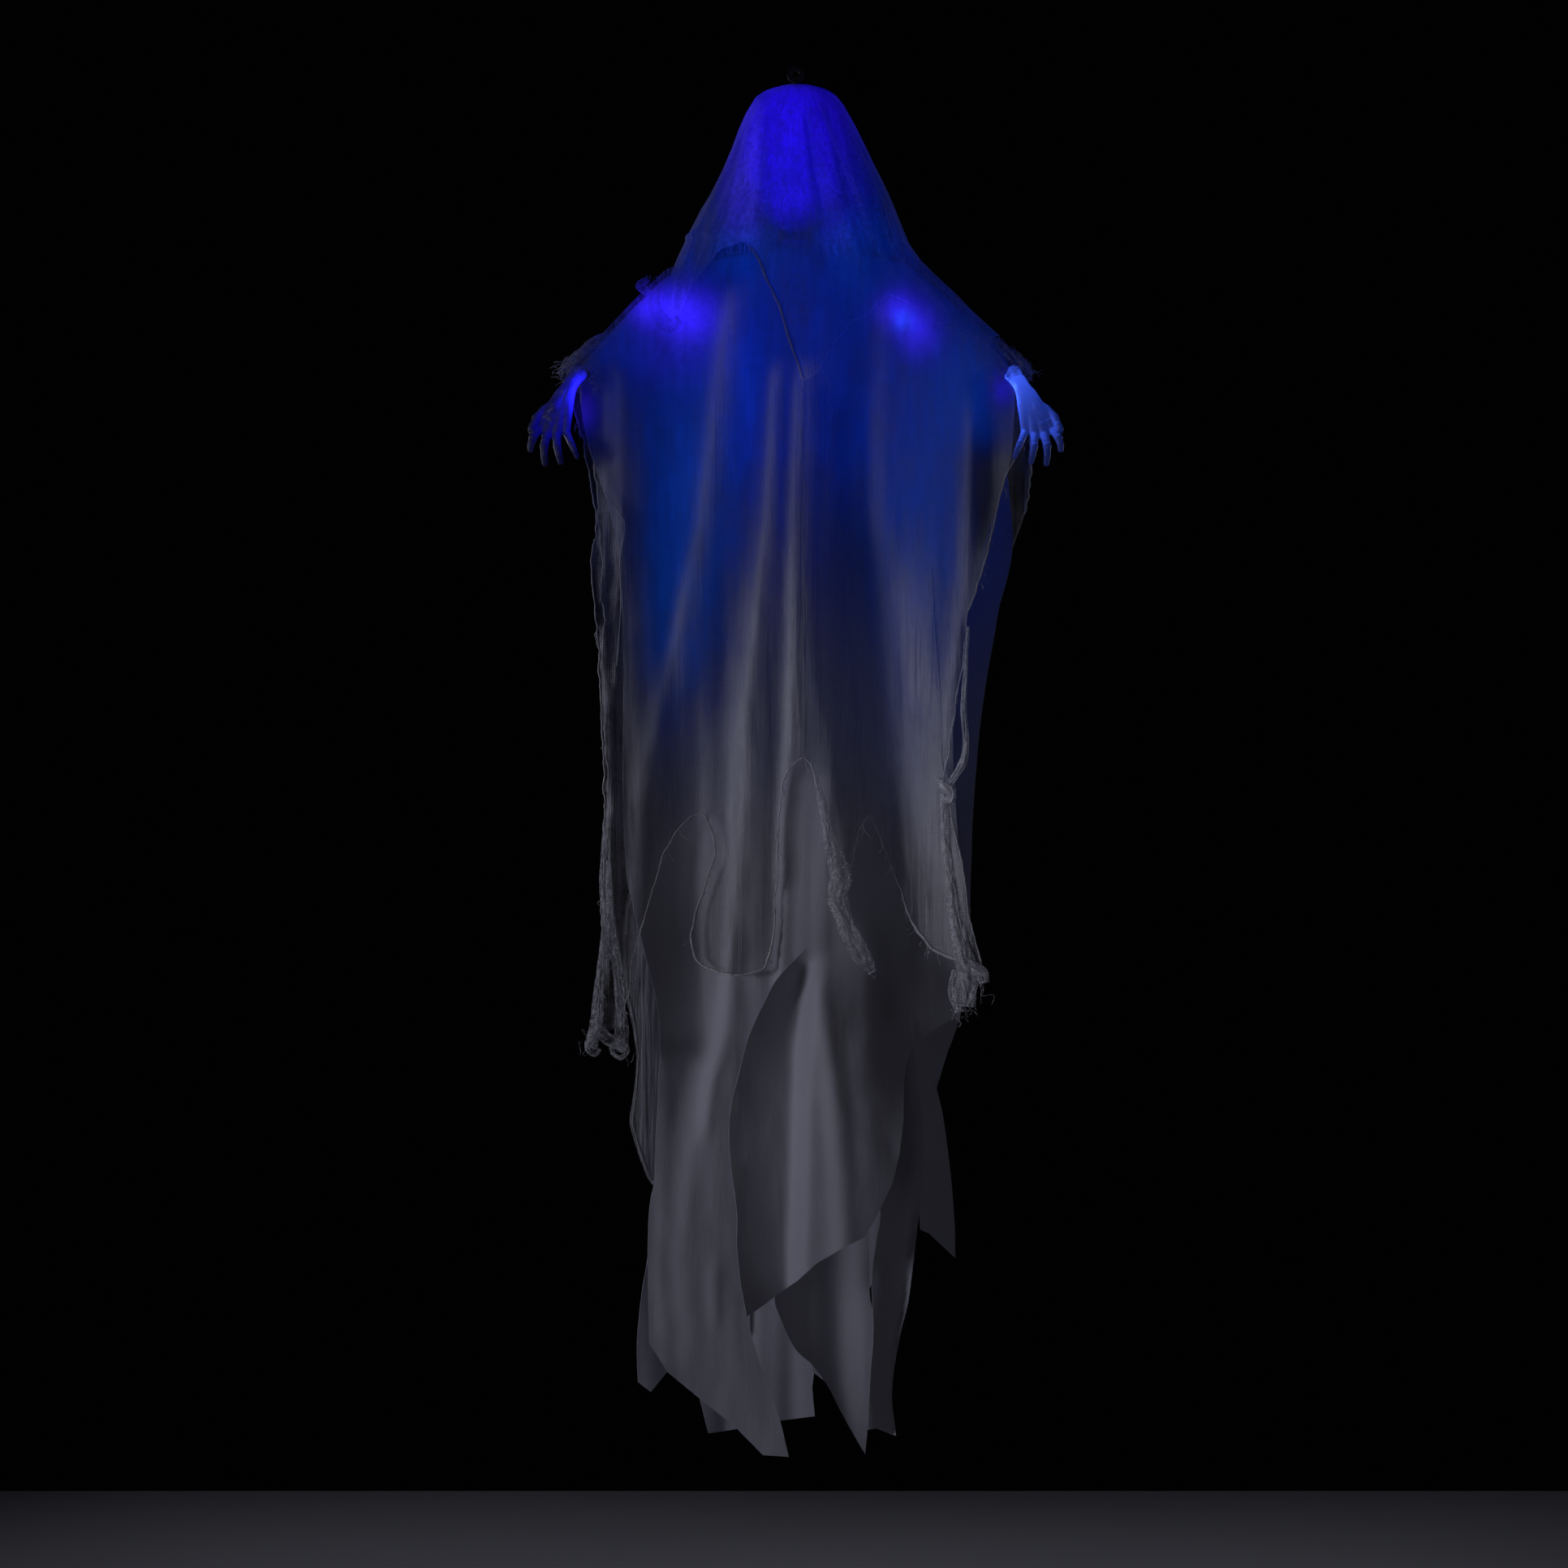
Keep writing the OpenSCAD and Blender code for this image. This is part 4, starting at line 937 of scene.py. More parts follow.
def gown_fn(off, side=-1, folds=gown_folds, ramp_y=None, turn=1.0):
    def f(px, py):
        def disp(x, y):
            q = folds(x, y)
            if side < 0:
                q = q - 0.13 * turn * s01((x - 1060) / 180) * s01((y - 900) / 280)
            else:
                # Behind, the gown lies inside the cloak down to the cloak's hem
                free = s01((y - 1200) / 140)
                q = q * (0.5 + 0.5 * free) - 0.016 * (1 - free)
            if ramp_y:
                q = q + (off[1] - off[0]) * s01((y - ramp_y[0]) / (ramp_y[1] - ramp_y[0]))
                q = q - (off[0] + 0.0125) * (1 - s01((x - 998) / 60)) * s01((1165 - y) / 40)
                q = q + 0.060 * s01((x - 1060) / 180) * s01((y - 1280) / 120)
            return q
        return surf(px, py, side, off[0] if ramp_y else off, disp, lower=10)
    return f


def hung_from(top, f, y0, y1):
    """A panel that is sewn to the back of another one at its top, and falls away from it between two heights."""
    def g(px, py):
        w = s01((np.asarray(py, float) - y0) / (y1 - y0))
        a, c = np.asarray(top(px, py)), np.asarray(f(px, py))
        return (a + np.array([0, 0.005, 0])) * (1 - w)[..., None] + c * w[..., None]
    return g


g1_hem = [(800, 1655), (822, 1690), (860, 1722), (905, 1757), (940, 1793), (972, 1795)]
g1 = smooth_outline([
    ("p", top_run(996, 716, 10)),
    ("s", [(716, 500), (724, 545), (742, 600), (756, 650), (764, 700), (768, 800), (768, 900), (768, 1000), (774, 1090), (796, 1180),
           (813, 1260), (811, 1340), (808, 1400), (806, 1455), (800, 1490), (798, 1560), (800, 1655)], 90),
    ("p", g1_hem),
    ("s", [(972, 1795), (958, 1740), (930, 1660), (924, 1620), (932, 1560), (946, 1480), (956, 1400), (966, 1300), (984, 1200), (1006, 1160)], 60),
    ("p", [(1006, 1000), (1004, 700), (1000, 400)]),
])
G1 = cloth("gown_front_left_cloth", g1, gown_fn(-0.013), 7.0, 21, [GOWN], 0.5, glow=0.85, thick=0.0009)

g2_left = [(1000, 1150), (992, 1169), (959, 1204), (941, 1236), (922, 1278), (911, 1320), (901, 1362), (898, 1399), (901, 1441), (908, 1496),
           (908, 1538), (913, 1585), (920, 1622)]
g2_hem = [(920, 1622), (941, 1608), (959, 1594), (983, 1578), (1006, 1557), (1038, 1538), (1066, 1524), (1085, 1489), (1099, 1459), (1108, 1422)]
g2 = smooth_outline([
    ("p", [(990, 320), (994, 700), (998, 1000)]),
    ("s", g2_left, 60),
    ("p", g2_hem),
    ("s", [(1108, 1422), (1113, 1380), (1114, 1334), (1121, 1298), (1146, 1272), (1176, 1250), (1186, 1200), (1188, 1130), (1180, 1030), (1174, 900), (1182, 780),
           (1205, 690), (1230, 620), (1246, 560), (1250, 500)], 90),
    ("p", top_run(1250, 990, 10)),
])


def s2_folds(px, py):
    q = gown_folds(px, py)
    edge = np.interp(py, [p[1] for p in g2_left], [p[0] for p in g2_left])
    hollow = np.interp(py, [1165, 1236, 1300, 1420, 1590, 1640], [1000, 982, 977, 973, 968, 964])
    far, wide = np.interp(py, [1250, 1450], [30, 66]), np.interp(py, [1250, 1450], [120, 180])
    t = np.clip((hollow - px) / np.maximum(hollow - edge, 6), 0, 1)
    on = s01((py - 1165) / 50)
    q = q * (1 - 0.85 * on) + 0.034 * on * t ** 1.3
    q = q + on * (0.032 * s01((px - hollow) / 26) - 0.040 * s01((px - hollow - far) / wide)) + on * 0.0016 * fbm(px / 30, py / 50, 29)
    q = q + ridge(px, py, [(1000, 1175), (1014, 1263), (1024, 1323), (1034, 1420), (1040, 1520)], 16, .008, wl=12, y0=1165, y1=1620, soft=60)
    return q


g2_fn = gown_fn((-0.009, 0.004), folds=s2_folds, ramp_y=(1120, 1320))
G2 = cloth("gown_front_right_cloth", g2, g2_fn, 7.0, 22, [GOWN], 0.5, glow=0.85, thick=0.0009)

g3 = smooth_outline([
    ("p", [(956, 1250), (1070, 1250)]),
    ("s", [(1070, 1500), (1071, 1562), (1072, 1599), (1078, 1631), (1076, 1678), (1070, 1748), (1066, 1792)], 40),
    ("s", [(1066, 1792), (1038, 1743), (1020, 1708), (1001, 1682), (978, 1659), (955, 1608)], 40),
    ("p", [(948, 1500), (950, 1400)]),
])
def s3_folds(px, py):
    q = 0.5 * gown_folds(px, py) + 0.012 - 0.040 * s01((px - 950) / 90) + 0.011 * s01((px - 1026) / 44)
    return q + 0.005 * pnoise(px / 26, py / 140, 241)


G3 = cloth("gown_front_inner_cloth", g3, hung_from(g2_fn, gown_fn(-0.058, folds=s3_folds), 1255, 1420), 7.0, 23, [GOWN], 0.4, glow=0, thick=0.0009)


def s4_folds(px, py):
    q = gown_folds(px, py) * 0.4
    # Below, the strip turns away from the light, and its free edge is rolled
    low = s01((py - 1440) / 90)
    edge = np.interp(py, [p[1] for p in g4_right], [p[0] for p in g4_right])
    q = q + low * (0.020 - 0.042 * s01((px - 1070) / (edge - 1062)))
    q = q + 0.008 * low * s01((px - edge + 5) / 5)
    q = q + 0.010 * (1 - low) * np.exp(-((px - edge + 10) / 14) ** 2)
    return q


g4_right = [(1124, 1236), (1127, 1290), (1130, 1334), (1136, 1376), (1138, 1422), (1134, 1478), (1127, 1539), (1120, 1599), (1108, 1650),
            (1101, 1692), (1099, 1725), (1104, 1769)]
g4 = smooth_outline([
    ("p", [(1070, 1180), (1126, 1180)]),
    ("s", g4_right, 60),
    ("p", [(1104, 1769), (1080, 1760), (1069, 1762)]),
    ("s", [(1069, 1762), (1072, 1700), (1076, 1640), (1074, 1580), (1080, 1530), (1085, 1489), (1074, 1400), (1068, 1300)], 40),
])
G4 = cloth("gown_right_cloth", g4, hung_from(g2_fn, gown_fn(-0.040, folds=s4_folds, turn=0.2), 1184, 1300), 6.0, 24, [GOWN], 0.4, glow=0, thick=0.0009)

def s5_folds(px, py):
    return back_folds(61, .003)(px, py)


g5 = smooth_outline([
    ("p", [(1118, 1120), (1196, 1120)]),
    ("s", [(1194, 1160), (1186, 1238), (1170, 1290), (1152, 1322), (1162, 1376), (1171, 1445), (1176, 1506), (1177, 1550)], 50),
    ("p", [(1177, 1550), (1145, 1520), (1134, 1515)]),
    ("s", [(1134, 1515), (1126, 1400), (1120, 1280)], 20),
])
G5 = cloth("gown_right_rear_cloth", g5, hung_from(g2_fn, gown_fn(-0.044, folds=s5_folds, turn=0.9), 1124, 1260), 7.0, 25, [GOWN], 0.4, glow=0, thick=0.0009)

g6_left = [(786, 1040), (778, 1084), (771, 1122), (768, 1156), (768, 1186), (771, 1227), (778, 1259), (784, 1301), (781, 1343), (776, 1383), (785, 1417), (797, 1450), (808, 1464)]
g6_right = [(808, 1464), (819, 1404), (818, 1352), (819, 1292), (815, 1246), (806, 1204), (800, 1171), (798, 1130), (795, 1084), (792, 1040)]
g6 = smooth_outline([("s", g6_left, 50), ("s", g6_right, 50)])


def g6_fn(px, py):
    return gown_fn(-0.030, folds=back_folds(71, .005))(px, py)


def g6_extra(b):
    # Stitched double hem down both edges
    for pts, dx in ((g6_left, 3), (g6_right, -3)):
        hem_line(b, [(x + dx, y) for x, y in pts], g6_fn, 0.00042, 72 + dx, 1, 6.0, 0.0005)


G6 = cloth("gown_left_cloth", g6, g6_fn, 6.0, 26, [SHEER, HEM], 0.6, glow=0, extra=g6_extra)

g7 = smooth_outline([
    ("p", top_run(930, 716, 12)),
    ("s", [(724, 548), (744, 605), (760, 665), (771, 800), (772, 1000), (782, 1110), (812, 1240), (812, 1400), (806, 1500), (797, 1557), (790, 1599),
           (785, 1655), (786, 1703)], 70),
    ("p", [(786, 1703), (802, 1715), (822, 1690), (850, 1660), (880, 1690), (915, 1640)]),
    ("p", [(925, 1400), (930, 1000), (930, 700)]),
])
G7 = cloth("gown_rear_left_cloth", g7, gown_fn(-0.013, side=1, folds=back_folds(31, .012)), 8.0, 27, [GOWN], 0.5, glow=0.5, thick=0.0009)

g8 = smooth_outline([
    ("p", top_run(1030, 890, 9, 16)),
    ("p", [(885, 700), (878, 1100), (868, 1500), (862, 1724), (873, 1766), (901, 1762), (948, 1752), (1004, 1745), (1001, 1710), (1012, 1600),
           (1026, 1300), (1030, 900), (1032, 600)]),
])
G8 = cloth("gown_rear_middle_cloth", g8, gown_fn(-0.002, side=1, folds=back_folds(37, .008)), 8.0, 28, [GOWN], 0.5, glow=0.5, thick=0.0009)

g9 = smooth_outline([
    ("p", top_run(1236, 990, 12)),
    ("p", [(990, 700), (990, 1200), (992, 1600), (1001, 1690), (1022, 1706)]),
    ("s", [(1022, 1706), (1045, 1640), (1080, 1570), (1110, 1500), (1135, 1410), (1160, 1320), (1184, 1240), (1194, 1150)], 40),
    ("s", [(1194, 1150), (1198, 1020), (1204, 930), (1212, 860), (1222, 800), (1232, 745), (1244, 700), (1248, 660), (1244, 610), (1238, 560), (1232, 490)], 60),
])
G9 = cloth("gown_rear_right_cloth", g9, gown_fn(-0.013, side=1, folds=back_folds(43, .012)), 8.0, 29, [GOWN], 0.5, glow=0.26, thick=0.0009)

for o, n, arm, flat in (
    (G1, ["gown_front_left"], "left", (0.34, 1.60)), (G2, ["gown_front_right"], "right", (0.34, 1.45)),
    (G3, ["gown_front_inner"], None, (0.16, 0.60)), (G4, ["gown_right"], "right", (0.09, 0.66)),
    (G5, ["gown_right_rear"], "right", (0.09, 0.48)), (G6, ["gown_left"], "left", (0.06, 0.47)),
    (G7, ["gown_rear_left"], "left", (0.26, 1.55)), (G8, ["gown_rear_middle"], None, (0.16, 1.60)),
    (G9, ["gown_rear_right"], "right", (0.32, 1.50)),
):
    finish_cloth(o, n, arm, flat)

# Cloak ----------------------------------------------------------------------------------------------------------------


def cloak_fn(side=-1, off=-0.001, folds=cloak_folds, dents=0.0008, seed=51):
    def f(px, py):
        return surf(px, py, side, off, lambda x, y: folds(x, y) + small_dents(x, y, seed, dents))
    return f


def cloak_density_and_painted_light(px, py):
    # Where a fold stands up the threads lie closer to one another
    g = (cloak_folds(px + 1.5, py) - cloak_folds(px - 1.5, py)) / (3 * K)
    fine = 0.16 * pnoise(px / 3.1, py / 160, 19) + 0.12 * pnoise(px / 7, py / 240, 20)
    edge = 0.30 * s01((800 - px) / 40) * s01((py - 560) / 120) + 0.80 * s01((px - 1135) / 34) * s01((py - 600) / 160)
    streak = 0.30 * np.clip(pnoise(px / 2.6, py / 130, 24) + 0.1, 0, 1)
    strip = s01((790 - px) / 16) * s01((py - 580) / 60)
    fine = fine + strip * (0.18 + 0.55 * pnoise(px / 8, py / 34, 231) + 0.45 * pnoise(px / 4, py / 15, 232))
    # Thinner gauze in the hollow beside the middle fold, so that it shows darker there: painted shade.
    fine = fine - 0.50 * ridge(px, py, [(1058, 560), (1070, 780), (1082, 960), (1090, 1100)], 26, 1.0, wl=40, y0=560, y1=1120, soft=120)
    # The crest term makes the gauze denser, and so paler, along the fold crests: a painted highlight.
    return np.clip(0.62 + 0.55 * np.abs(g) + 0.75 * np.clip(crest(px, py), 0, 1) + fine + streak + edge + 0.20 * s01((470 - py) / 120), 0.3, 1.9)


cfl_hem = [(768, 1262), (771, 1235), (776, 1212), (785, 1165), (800, 1110), (815, 1060), (830, 1030), (848, 1010), (865, 1003), (874, 1018),
           (880, 1045), (877, 1070), (862, 1110), (852, 1150), (855, 1175), (868, 1190), (900, 1201), (930, 1197), (944, 1187), (953, 1150),
           (957, 1080), (960, 1010), (965, 965), (975, 944), (990, 933)]
cfl_left = [(697, 470), (712, 520), (718, 545), (728, 590), (735, 640), (728, 690), (733, 750), (738, 800), (742, 900), (745, 1000), (742, 1100),
            (741, 1160), (738, 1220), (734, 1262)]
cfl_hem, cfl_left = ragged(cfl_hem, 2.6, 401), ragged(cfl_left, 3.2, 402)
cfl = smooth_outline([
    ("p", top_run(994, 697, 0, 50)),
    ("p", cfl_left),
    ("p", [(734, 1262), (750, 1270), (768, 1262)]),
    ("p", cfl_hem),
    ("p", [(990, 933), (994, 760), (994, 560)]),
])
cfl_f = cloak_fn()


def cfl_extra(b):
    hem_line(b, cfl_hem, cfl_f, lambda x, y: 0.0010 + 0.0007 * s01((y - 1120) / 60) * s01((x - 840) / 10), 81)
    hem_line(b, cfl_left, cfl_f, 0.0008, 83)
    hem_line(b, spline([(744, 605), (758, 626), (770, 647), (764, 690), (765, 744), (760, 820)], 50), cfl_f, 0.0007, 85)
    frays(b, cfl_hem, cfl_f, 34, 0.016, 86)
    frays(b, cfl_left, cfl_f, 22, 0.014, 87)


CFL = cloth("cloak_front_left_cloth", cfl, cfl_f, 5.5, 41, [GAUZE, HEM], 0.0, den=cloak_density_and_painted_light, glow=0.75, extra=cfl_extra)

cfr_hem = [(990, 933), (999, 942), (1006, 966), (1015, 995), (1023, 1032), (1029, 1062), (1034, 1080), (1043, 1078), (1052, 1050), (1062, 1016),
           (1072, 1003), (1080, 1018), (1092, 1052), (1104, 1080), (1113, 1103), (1120, 1124), (1132, 1147), (1150, 1168), (1172, 1181), (1198, 1190), (1214, 1203)]
cfr_right = [(1262, 462), (1262, 510), (1254, 552), (1234, 600), (1226, 640), (1208, 712), (1192, 760), (1188, 800), (1181, 845), (1174, 890), (1168, 930), (1164, 962),
             (1167, 985), (1178, 1030), (1187, 1080), (1197, 1140), (1208, 1182), (1214, 1203)]
cfr_hem, cfr_right = ragged(cfr_hem, 2.6, 403), ragged(cfr_right, 2.6, 404)
cfr = smooth_outline([
    ("p", [(986, 560), (986, 760), (988, 930)]),
    ("p", cfr_hem),
    ("p", cfr_right[::-1]),
    ("p", top_run(1262, 986, 0, 50)),
])
cfr_f = cloak_fn(seed=57)


def cfr_extra(b):
    hem_line(b, cfr_hem, cfr_f, lambda x, y: 0.0004 + 0.0006 * s01((1038 - x) / 10) + 0.0018 * s01((x - 1100) / 24), 91)
    hem_line(b, cfr_right, cfr_f, 0.0009, 93)
    hem_line(b, spline([(1148, 700), (1152, 780), (1158, 860), (1160, 930), (1163, 968)], 60), cfr_f, 0.0006, 94)
    frays(b, cfr_hem, cfr_f, 34, 0.016, 96)
    frays(b, cfr_right, cfr_f, 22, 0.014, 97)


CFR = cloth("cloak_front_right_cloth", cfr, cfr_f, 5.5, 42, [GAUZE, HEM], 0.0, den=cloak_density_and_painted_light, glow=0.75, extra=cfr_extra)

cbl_hem = [(752, 1180), (775, 1215), (800, 1150), (835, 1090), (862, 1150), (880, 1200), (905, 1120), (925, 1030), (950, 1010), (975, 1060), (996, 1040)]
cbl_left = [(712, 470), (724, 530), (732, 580), (740, 650), (742, 760), (746, 900), (750, 1050), (752, 1180)]
cbl_hem, cbl_left = ragged(cbl_hem, 9.0, 405), ragged(cbl_left, 4.0, 406)
cbl = smooth_outline([
    ("p", top_run(996, 712, 0, 50)),
    ("p", cbl_left),
    ("p", cbl_hem),
    ("p", [(996, 760), (996, 560)]),
])
cbl_f = cloak_fn(1, 0.006, back_folds(101, .011), seed=63)


def cbl_extra(b):
    hem_line(b, cbl_hem, cbl_f, 0.0011, 111, lift=-0.0012)
    hem_line(b, cbl_left, cbl_f, 0.0011, 113, lift=-0.0012)
    frays(b, cbl_hem, cbl_f, 26, 0.016, 116)


CBL = cloth("cloak_back_left_cloth", cbl, cbl_f, 6.5, 43, [GAUZE, HEM], 0.0, glow=0.45, extra=cbl_extra)

cbr_hem = [(994, 1040), (1010, 1000), (1030, 1050), (1055, 1130), (1080, 1180), (1105, 1090), (1125, 1060), (1150, 1120), (1176, 1170), (1188, 1150)]
cbr_right = [(1248, 462), (1260, 500), (1268, 540), (1270, 586), (1260, 636), (1240, 690), (1220, 745), (1202, 840), (1191, 950), (1187, 1060), (1188, 1150)]
cbr_hem, cbr_right = ragged(cbr_hem, 9.0, 407), ragged(cbr_right, 4.0, 408)
cbr = smooth_outline([
    ("p", [(994, 560), (994, 760)]),
    ("p", cbr_hem),
    ("p", cbr_right[::-1]),
    ("p", top_run(1248, 994, 0, 50)),
])
cbr_f = cloak_fn(1, 0.006, back_folds(107, .011), seed=67)


def cbr_extra(b):
    hem_line(b, cbr_hem, cbr_f, 0.0011, 121, lift=-0.0012)
    hem_line(b, cbr_right, cbr_f, 0.0011, 123, lift=-0.0012)
    frays(b, cbr_hem, cbr_f, 26, 0.016, 126)


CBR = cloth("cloak_back_right_cloth", cbr, cbr_f, 6.5, 44, [GAUZE, HEM], 0.0, glow=0.26, extra=cbr_extra)

for o, n, arm, flat in (
    (CFL, ["cloak_front_left", "left_sleeve"], "left", (0.34, 1.06)), (CFR, ["cloak_front_right", "right_sleeve"], "right", (0.34, 1.00)),
    (CBL, ["cloak_back_left"], "left", (0.34, 0.98)), (CBR, ["cloak_back_right"], "right", (0.34, 0.95)),
):
    finish_cloth(o, n, arm, flat)

# Gathered tails of the cloak ------------------------------------------------------------------------------------------


def at(pts, fn, lift=0.004):
    p = np.array(pts, float)
    co = fn(p[:, 0], p[:, 1])
    co[:, 1] -= lift
    return co


def crumple(path, half_w, flat=0.6, seed=1, n=110, sides=60, rough=0.5):
    """Cloth crushed into a flattened bundle along world points: an open tube with an uneven, dented wall."""
    p = spline(path, n)
    w = np.interp(np.linspace(0, 1, n), np.linspace(0, 1, len(half_w)), half_w)
    t = np.gradient(p, axis=0)
    t /= np.linalg.norm(t, axis=1)[:, None]
    sd = np.cross(t, np.array([0, 1.0, 0]))
    sd /= np.maximum(np.linalg.norm(sd, axis=1), 1e-9)[:, None]
    dp = np.cross(sd, t)
    dist = np.concatenate([[0], np.cumsum(np.linalg.norm(np.diff(p, axis=0), axis=1))])
    a = 2 * math.pi * np.arange(sides) / sides
    A, D = np.meshgrid(a, dist)
    q = pnoise(1.1 * np.cos(A) + 3, 1.1 * np.sin(A) + D * 24, seed) + 0.75 * pnoise(2.7 * np.cos(A) + 5, 2.7 * np.sin(A) + D * 52, seed + 1)
    q = 0.92 + rough * (q + 0.5 * pnoise(6.5 * np.cos(A) + 9, 6.5 * np.sin(A) + D * 90, seed + 2))
    W_ = w[:, None] * q
    v = p[:, None, :] + (W_ * np.cos(A))[..., None] * sd[:, None, :] + (flat * W_ * np.sin(A))[..., None] * dp[:, None, :]
    uv = np.stack([w[:, None] * A * 1.3, D], 2)
    f = [(i * sides + k, i * sides + (k + 1) % sides, (i + 1) * sides + (k + 1) % sides, (i + 1) * sides + k)
         for i in range(n - 1) for k in range(sides)]
    return v.reshape(-1, 3), f, uv.reshape(-1, 2), v[-1]


def tail(name, parts, arm, seed, threads=(), flat=(0.05, 0.2), mat=None):
    b = Build()
    for kind, path, radius, *more in parts:
        if kind == "roll":
            v, f, uv = rope(path, radius, more[0], more[1], seed=seed, n=90, base=0.86, deep=0.12, rough=0.35)
            b.add(v, f, uv, 1.25, 0)
        else:
            v, f, uv, rim = crumple(path, radius, more[0], seed, rough=more[1])
            b.add(v, f, uv, 0.95, 0)
            if kind == "mouth":
                # The free edge is rolled
                ring = np.vstack([rim, rim[:2]])
                rv, rf, ru = tube(ring, 0.0013 * (1 + 0.4 * pnoise(np.arange(len(ring)) * 0.4, np.zeros(len(ring)) + 0.5, seed + 7)), 7)
                b.add(rv, rf, ru, 1.4, 0)
        seed += 5
    rng = np.random.RandomState(seed)
    for p0, cnt, ln in threads:
        for _ in range(cnt):
            d = rng.randn(3) * np.array([.8, .5, .5])
            d[2] -= 1.2
            d /= np.linalg.norm(d)
            t = np.linspace(0, 1, 9)[:, None]
            w = rng.randn(3) * 0.004
            start = p0 + rng.randn(3) * np.array([.006, .003, .004])
            path = start + d * ln * (0.3 + rng.rand()) * t + w * np.sin(6 * t) + np.array([0, 0, -0.006]) * t ** 2
            v, f, uv = tube(path, 0.00032, 4)
            b.add(v, f, uv, 1.0, 0)
    o = b.make(name, [mat or BUNCH], 0.6)
    finish_cloth(o, [], arm, flat)
    return o


lt = at([(746, 1020), (744, 1080), (747, 1130), (742, 1185), (738, 1225), (736, 1256), (731, 1278), (729, 1292)], cfl_f)
lt2 = at([(750, 1060), (752, 1120), (758, 1170), (763, 1215), (765, 1250), (766, 1276), (762, 1294)], cfl_f)
lt3 = at([(726, 1282), (738, 1272), (750, 1280), (762, 1284), (770, 1290)], cfl_f, .008)
lc1 = at([(737, 1284), (730, 1279), (724, 1285), (726, 1295), (734, 1299), (740, 1292)], cfl_f, .010)
lc2 = at([(752, 1290), (757, 1299), (766, 1302), (773, 1295), (771, 1285), (763, 1283)], cfl_f, .010)
tail("cloak_tail_left", [("crush", lt, [.003, .005, .006, .006, .006, .007, .008, .007], .6, .6), ("crush", lt2, [.003, .005, .006, .006, .007, .008, .007], .6, .6),
                         ("mouth", lt3, [.006, .009, .009, .009, .007], .7, .6), ("roll", lc1, [.0020, .0030, .0032, .0032, .0030, .0020], 3, 1.5),
                         ("roll", lc2, [.0020, .0030, .0032, .0032, .0030, .0020], 3, 1.5)],
     "left", 131, [(lt3[0], 5, .012), (lt3[-1], 5, .012), (lt[4], 3, .010)], flat=(0.12, 0.30))

mt = at([(1000, 938), (1009, 975), (1018, 1012), (1027, 1050), (1033, 1078), (1031, 1104), (1040, 1130), (1053, 1158), (1066, 1184), (1074, 1198)], cfr_f, .006)
tail("cloak_tail_middle", [("mouth", mt, [.002, .004, .006, .008, .013, .014, .010, .012, .012, .007], .7, .6)], "right", 137, [(mt[-1], 7, .016), (mt[5], 3, .014)],
     flat=(0.10, 0.32))

ru = at([(1193, 772), (1190, 820), (1187, 870), (1190, 912), (1187, 938), (1177, 957), (1165, 972)], cfr_f, .004)
rt = at([(1163, 978), (1165, 1030), (1171, 1080), (1178, 1130), (1187, 1172), (1193, 1206), (1190, 1238)], cfr_f, .006)
rk = at([(1156, 960), (1163, 968), (1172, 974), (1171, 984), (1160, 984)], cfr_f, .010)
rs = at([(1184, 1180), (1198, 1190), (1209, 1198), (1212, 1210)], cfr_f, .008)
rb = at([(1178, 1195), (1176, 1222), (1182, 1246)], cfr_f, .007)
tail("cloak_tail_right", [("roll", ru, [.0016, .0030, .0040, .0048, .0052, .0052, .0046], 3, 2.0), ("roll", rk, [.004, .006, .0065, .006, .004], 3, 2.0),
                          ("mouth", rt, [.004, .006, .007, .009, .012, .015, .012], .7, .6), ("mouth", rs, [.005, .008, .008, .006], .7, .5),
                          ("mouth", rb, [.006, .008, .006], .7, .5)],
     "right", 143, [(rt[-1], 8, .018), (rs[-1], 6, .016), (rb[-1], 5, .016), (rk[2], 4, .012)], flat=(0.12, 0.36), mat=GATHER)

# Veil -----------------------------------------------------------------------------------------------------------------

V_L = [(103, 8), (106, 22), (112, 40), (120, 51), (140, 63), (160, 72), (180, 79), (210, 92), (240, 107), (260, 119), (285, 131), (320, 147), (345, 157),
       (370, 166), (388, 171), (410, 176), (480, 186)]
V_R = [(103, 8), (106, 22), (110, 36), (118, 48), (130, 58), (150, 69), (170, 79), (200, 94), (220, 104), (250, 118), (270, 125), (300, 137), (320, 151), (340, 171),
       (360, 192), (380, 211), (400, 233), (412, 246), (440, 268), (480, 290)]
V_B = [(103, .010), (106, .026), (112, .044), (120, .055), (140, .068), (180, .082), (220, .094), (260, .106), (300, .116), (340, .124), (380, .128), (480, .132)]
# Where the veil's hem lies, by the angle round the head: 0 is the front, 90 is +X
V_HEM = [(-180, 398), (-172, 404), (-165, 392), (-150, 402), (-138, 388), (-120, 380), (-108, 390), (-95, 384), (-84, 392), (-70, 404), (-60, 398), (-56, 384),
         (-52, 356), (-44, 324), (-36, 306), (-28, 298), (-24.5, 298), (-15.9, 323), (-6.3, 374), (0.2, 446), (1.2, 472), (4.6, 456), (9.6, 420), (15.6, 395),
         (21, 388), (26.8, 372), (34.5, 362), (40.8, 372), (45.6, 390), (49.7, 402), (54.8, 412), (64, 416), (80, 413), (92, 413), (105, 400), (118, 384),
         (130, 376), (142, 392), (155, 386), (168, 402), (180, 398)]


